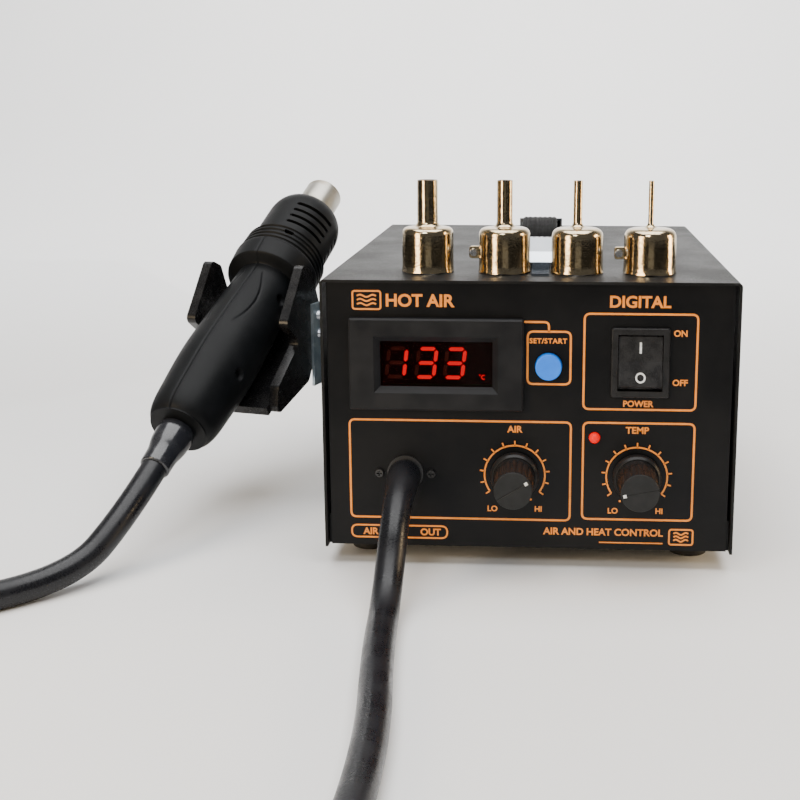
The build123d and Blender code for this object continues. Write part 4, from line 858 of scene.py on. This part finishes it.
def vent_cap():
    """The cap in front of the handle: a ring with ribs, a step, four rows of slots, then a round nose.

    The wall is two turned profiles in millimetres, and the slots are cells of the grid left open. A
    slot is a bar with round ends, and the latch hole is an ellipse.
    """
    along = np.concatenate([np.linspace(126.2, 140, 70), np.linspace(140.3, 167, 90),
                            np.linspace(167.4, 177, 22)])
    step = np.clip((along - 137.6) / 1.6, 0, 1)
    rib = np.clip(np.cos((along - 128.2) * 2 * math.pi / 3.3) * 2.4, -1, 1)
    ring = 24.0 - 0.4 * np.clip((along - 126) / 11, 0, 1) + 0.4 * rib - 0.4
    nose = np.clip((along - 163) / 14, 0, 1)
    tube = 14.0 + 7.2 * np.sqrt(np.clip(1 - nose ** 2.2, 0, 1))
    radius = ring * (1 - step) + tube * step
    wall, mouth = 2.4, 11.3
    inner = np.where(along > 175, mouth, np.maximum(radius - wall, mouth + 0.1))
    turn = np.degrees(gun.angles + math.pi / len(gun.angles))
    kept = np.ones((len(along) - 1, len(gun.angles)), bool)
    place = (along[1:] + along[:-1])[:, None] / 2
    slot_reach, slot_half, slot_end = 33, 1.15, 2.5
    for row in (145.6, 151.0, 156.4, 161.8):
        for centre in (46, -44, 226):
            distance = np.abs((turn - centre + 180) % 360 - 180)
            ends = np.clip((slot_reach - distance) / slot_end, 0, 1)
            half = slot_half * np.sqrt(1 - (1 - ends) ** 2)
            kept &= ~((np.abs(place - row) < half) & (distance < slot_reach))
    kept &= ~(((place - 134.4) / 1.7) ** 2 + ((turn - 64) / 6.5) ** 2 < 1)
    points, faces = pierced(gun.rings(along, radius), gun.rings(along, inner), kept)
    piece = built("slotted_vent_cap", points, faces, gun_plastic, "gun", crease=40)
    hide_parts("gun_vent_cap")


def air_pipe():
    """The steel pipe: a thin tube with a rolled edge, and the flange that holds it in the cap."""
    pipe = Lathe(gun_tail, gun_axis, gun_side, 120)
    outer, seat, flange, wall = 10.9, 10.7, 21.7, 0.7
    start, flange_start, flange_end, seat_end, rolled, end = 106, 127, 128.2, 177.3, 199.4, 200
    profile = rounded([(start, seat, 0), (flange_start, seat, 0.1), (flange_start, flange, 0.3),
                       (flange_end, flange, 0.3), (flange_end, seat, 0.3), (seat_end, seat, 0.05),
                       (seat_end, outer, 0.05), (rolled, outer, 0.5), (end, outer - wall / 2, 0.25),
                       (rolled, outer - wall, 0.25), (start, outer - wall, 0)])
    profile = np.concatenate([profile, profile[:1]])
    steel = heat_tinted_steel(gun_axis, gun_tail, 170 * mm, 201 * mm)
    piece = pipe.solid("steel_air_pipe", profile, steel, "gun")
    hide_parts("gun_pipe")


def hose_bushing():
    """The glossy rubber bushing: a collar inside the handle, a bulb, and a neck over the hose."""
    bore, collar, throat = 6.3, 9.4, 7.9
    profile = rounded([(5.6, bore, 0), (5.6, collar, 0.3), (2.7, collar, 0.3), (2.7, throat, 0.2),
                       (-0.3, throat, 0.2), (-0.6, 9.0, 0.8), (-5, 9.5, 3), (-12, 8.8, 3),
                       (-17, 7.5, 3), (-25.6, 7.3, 0.8), (-26, bore, 0)], 8)
    profile = np.concatenate([profile, profile[:1]])
    bushing = Lathe(gun_tail, gun_axis, gun_side, 96)
    piece = bushing.solid("rubber_bushing", profile, bushing_rubber, "gun", 60)
    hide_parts("gun_hose_bushing")


handle_halves()
vent_cap()
air_pipe()
hose_bushing()

# ---- carrying strap ----


def strap_piece():
    """A rubber strap on an arc between two flat ends, with ribs that run along its top.

    Its section is a flat top with round shoulders and a flat underside, carried along the arc.
    """
    low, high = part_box("carry_strap")
    thick, flat, ribs = 3.5 * mm, 58 * mm, 7
    half_width = (high.x - low.x) / 2
    rise = high.z - low.z - thick
    radius = (flat ** 2 + rise ** 2) / (2 * rise)
    y = np.linspace(low.y, high.y, 121)
    arc = np.sqrt(radius ** 2 - np.clip(np.abs(y), 0, flat) ** 2) - (radius - rise)
    x = np.linspace(-half_width, half_width, 73)
    shoulder = np.clip((half_width - np.abs(x)) / (2.2 * mm), 0, 1)
    edge = thick * (0.45 + 0.55 * np.sqrt(1 - (1 - shoulder) ** 2))
    rib = 0.35 * mm * (0.5 - 0.5 * np.cos(x / half_width * math.pi * ribs)) * (shoulder >= 1)
    under_lift = np.where(np.abs(x) > half_width - 0.5 * mm, 0.4 * mm, 0.0)
    across = np.concatenate([x, x[::-1]])
    height = np.concatenate([edge - rib, under_lift[::-1]])
    places = np.broadcast_arrays((low.x + high.x) / 2 + across, y[:, None], low.z + arc[:, None] + height)
    grid = np.stack(places, -1)
    faces = cells(*grid.shape[:2]).reshape(-1, 4).tolist()
    count = grid.shape[1]
    faces += [tuple(range(count)), tuple(range((len(y) - 1) * count, len(y) * count))]
    piece = built("ribbed_strap", grid, faces, strap_rubber, crease=45)
    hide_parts("carry_strap")


strap_piece()

# ---- finishes of the CAD pieces that stay ----
kept_finishes = {
    powder_coat: ["case_cover"],
    panel_paint: ["front_panel", "back_panel", "chassis_base"],
    foot_rubber: ["rubber_feet", "pump_mounts"],
    bright_zinc: ["foot_screws", "air_shaft", "temp_shaft", "potentiometers", "potentiometer_nuts",
                  "bracket_case_screws", "holder_screws", "strap_screws", "nozzle_large_screw",
                  "nozzle_medium_screw", "nozzle_small_screw", "nozzle_fine_screw"],
    black_oxide: ["case_screws", "gland_screws", "gun_handle_screws"],
    bezel_plastic: ["display_bezel"],
    window_filter: ["display_window"],
    module_face: ["digit_module"],
    inside_plastic: ["set_switch", "hose_gland", "mains_inlet"],
    board_green: ["display_board", "control_board"],
    switch_plastic: ["power_switch_frame"],
    rocker_plastic: ["power_rocker"],
    brass: ["switch_terminals", "inlet_pins", "board_standoffs"],
    ceramic: ["heater_core"],
    holder_plastic: ["gun_holder"],
    zinc_sheet: ["holder_bracket"],
    mirror_chrome: ["strap_cap_front", "strap_cap_back"],
    pump_casting: ["air_pump"],
    silicone: ["air_tube"],
    laminations: ["power_transformer"],
    anodised: ["heat_sink"],
}
for finish, names in kept_finishes.items():
    for name in names:
        for material_slot in frame["nodes"][name].material_slots:
            material_slot.material = finish

# ---- floor and light ----
def studio_piece(name, grid, finish):
    """An open grid of points, linked to the scene."""
    mesh = bpy.data.meshes.new(name)
    faces = cells(*grid.shape[:2], ring=False).reshape(-1, 4).tolist()
    mesh.from_pydata(grid.reshape(-1, 3).tolist(), [], faces)
    mesh.shade_smooth()
    mesh.materials.append(finish)
    piece = bpy.data.objects.new(name, mesh)
    scene.collection.objects.link(piece)
    return piece


floor_half = 4.0
sweep = rounded([(-floor_half, 0, 0), (1.9, 0, 1.0), (1.9, 3.2, 0)], 24)
sides = [np.column_stack([np.full(len(sweep), side), sweep]) for side in (-floor_half, floor_half)]
pale_floor = surface("pale_floor", (0.86, 0.86, 0.86), (0.84, 0.84, 0.84), 0.75, patch=400, grain=4,
                     depth=0.01)
floor = studio_piece("studio_sweep", np.stack(sides, 1), pale_floor)


def dark_card(name, start, end, shade):
    """A ring sector just above the floor, seen only in reflections, as a studio's black card is.

    Its grid runs over the turn from the front, in degrees towards the right, and the distance outwards.
    """
    turn, distance = np.meshgrid(np.radians(np.linspace(start, end, 24)), np.linspace(0.4, 3.6, 9))
    places = np.stack([distance * np.sin(turn), -distance * np.cos(turn), np.full(turn.shape, 1 * mm)], 2)
    card_finish = surface(name, shade, shade, 0.9, patch=200, grain=9, depth=0.0, shine=0.0)
    card = studio_piece(name, places, card_finish)
    card.visible_camera = False
    card.visible_diffuse = False
    card.visible_shadow = False


card_black, card_grey = (0.02, 0.02, 0.02), (0.16, 0.16, 0.15)
dark_card("left_card", -150, -47, card_black)
dark_card("front_left_card", -33, -7, card_black)
dark_card("front_card", -7, 16, card_grey)
dark_card("front_right_card", 16, 88, card_black)
dark_card("right_card", 106, 150, card_black)

world = bpy.data.worlds.new("studio")
world.use_nodes = True
sky = world.node_tree
background = sky.nodes["Background"]
background.inputs["Color"].default_value = (0.93, 0.96, 1.0, 1)
seen = node(sky, "ShaderNodeLightPath").outputs["Is Camera Ray"]
dim, bright = 0.12, 0.6
sky.links.new(spread(sky, seen, dim, bright, (0, 1)), background.inputs["Strength"])
scene.world = world


def soft_light(name, spot, target, width, height, power, colour=(1, 1, 1)):
    """An area light of that width and height at a spot, turned towards a target."""
    data = bpy.data.lights.new(name, "AREA")
    data.shape = "RECTANGLE"
    data.size = width
    data.size_y = height
    data.energy = power
    data.color = colour
    light = bpy.data.objects.new(name, data)
    light.location = spot
    light.rotation_euler = (Vector(target) - Vector(spot)).to_track_quat("-Z", "Y").to_euler()
    scene.collection.objects.link(light)


soft_light("overhead", (0, -0.1, 1.9), (0, -0.1, 0), 2.2, 1.8, 72)
soft_light("backdrop", (0, 0.7, 1.2), (0, 1.9, 0.7), 2.5, 0.6, 42)
soft_light("left_strip", (-0.8, -0.95, 0.34), (0, -0.05, 0.15), 0.36, 0.7, 10, (1, 0.78, 0.5))
soft_light("right_strip", (1.1, 0.02, 0.3), (0, -0.05, 0.15), 0.36, 0.6, 10, (1, 0.74, 0.43))
soft_light("key", (-0.25, -1.2, 1.0), (0, -0.1, 0.08), 0.4, 0.3, 5)
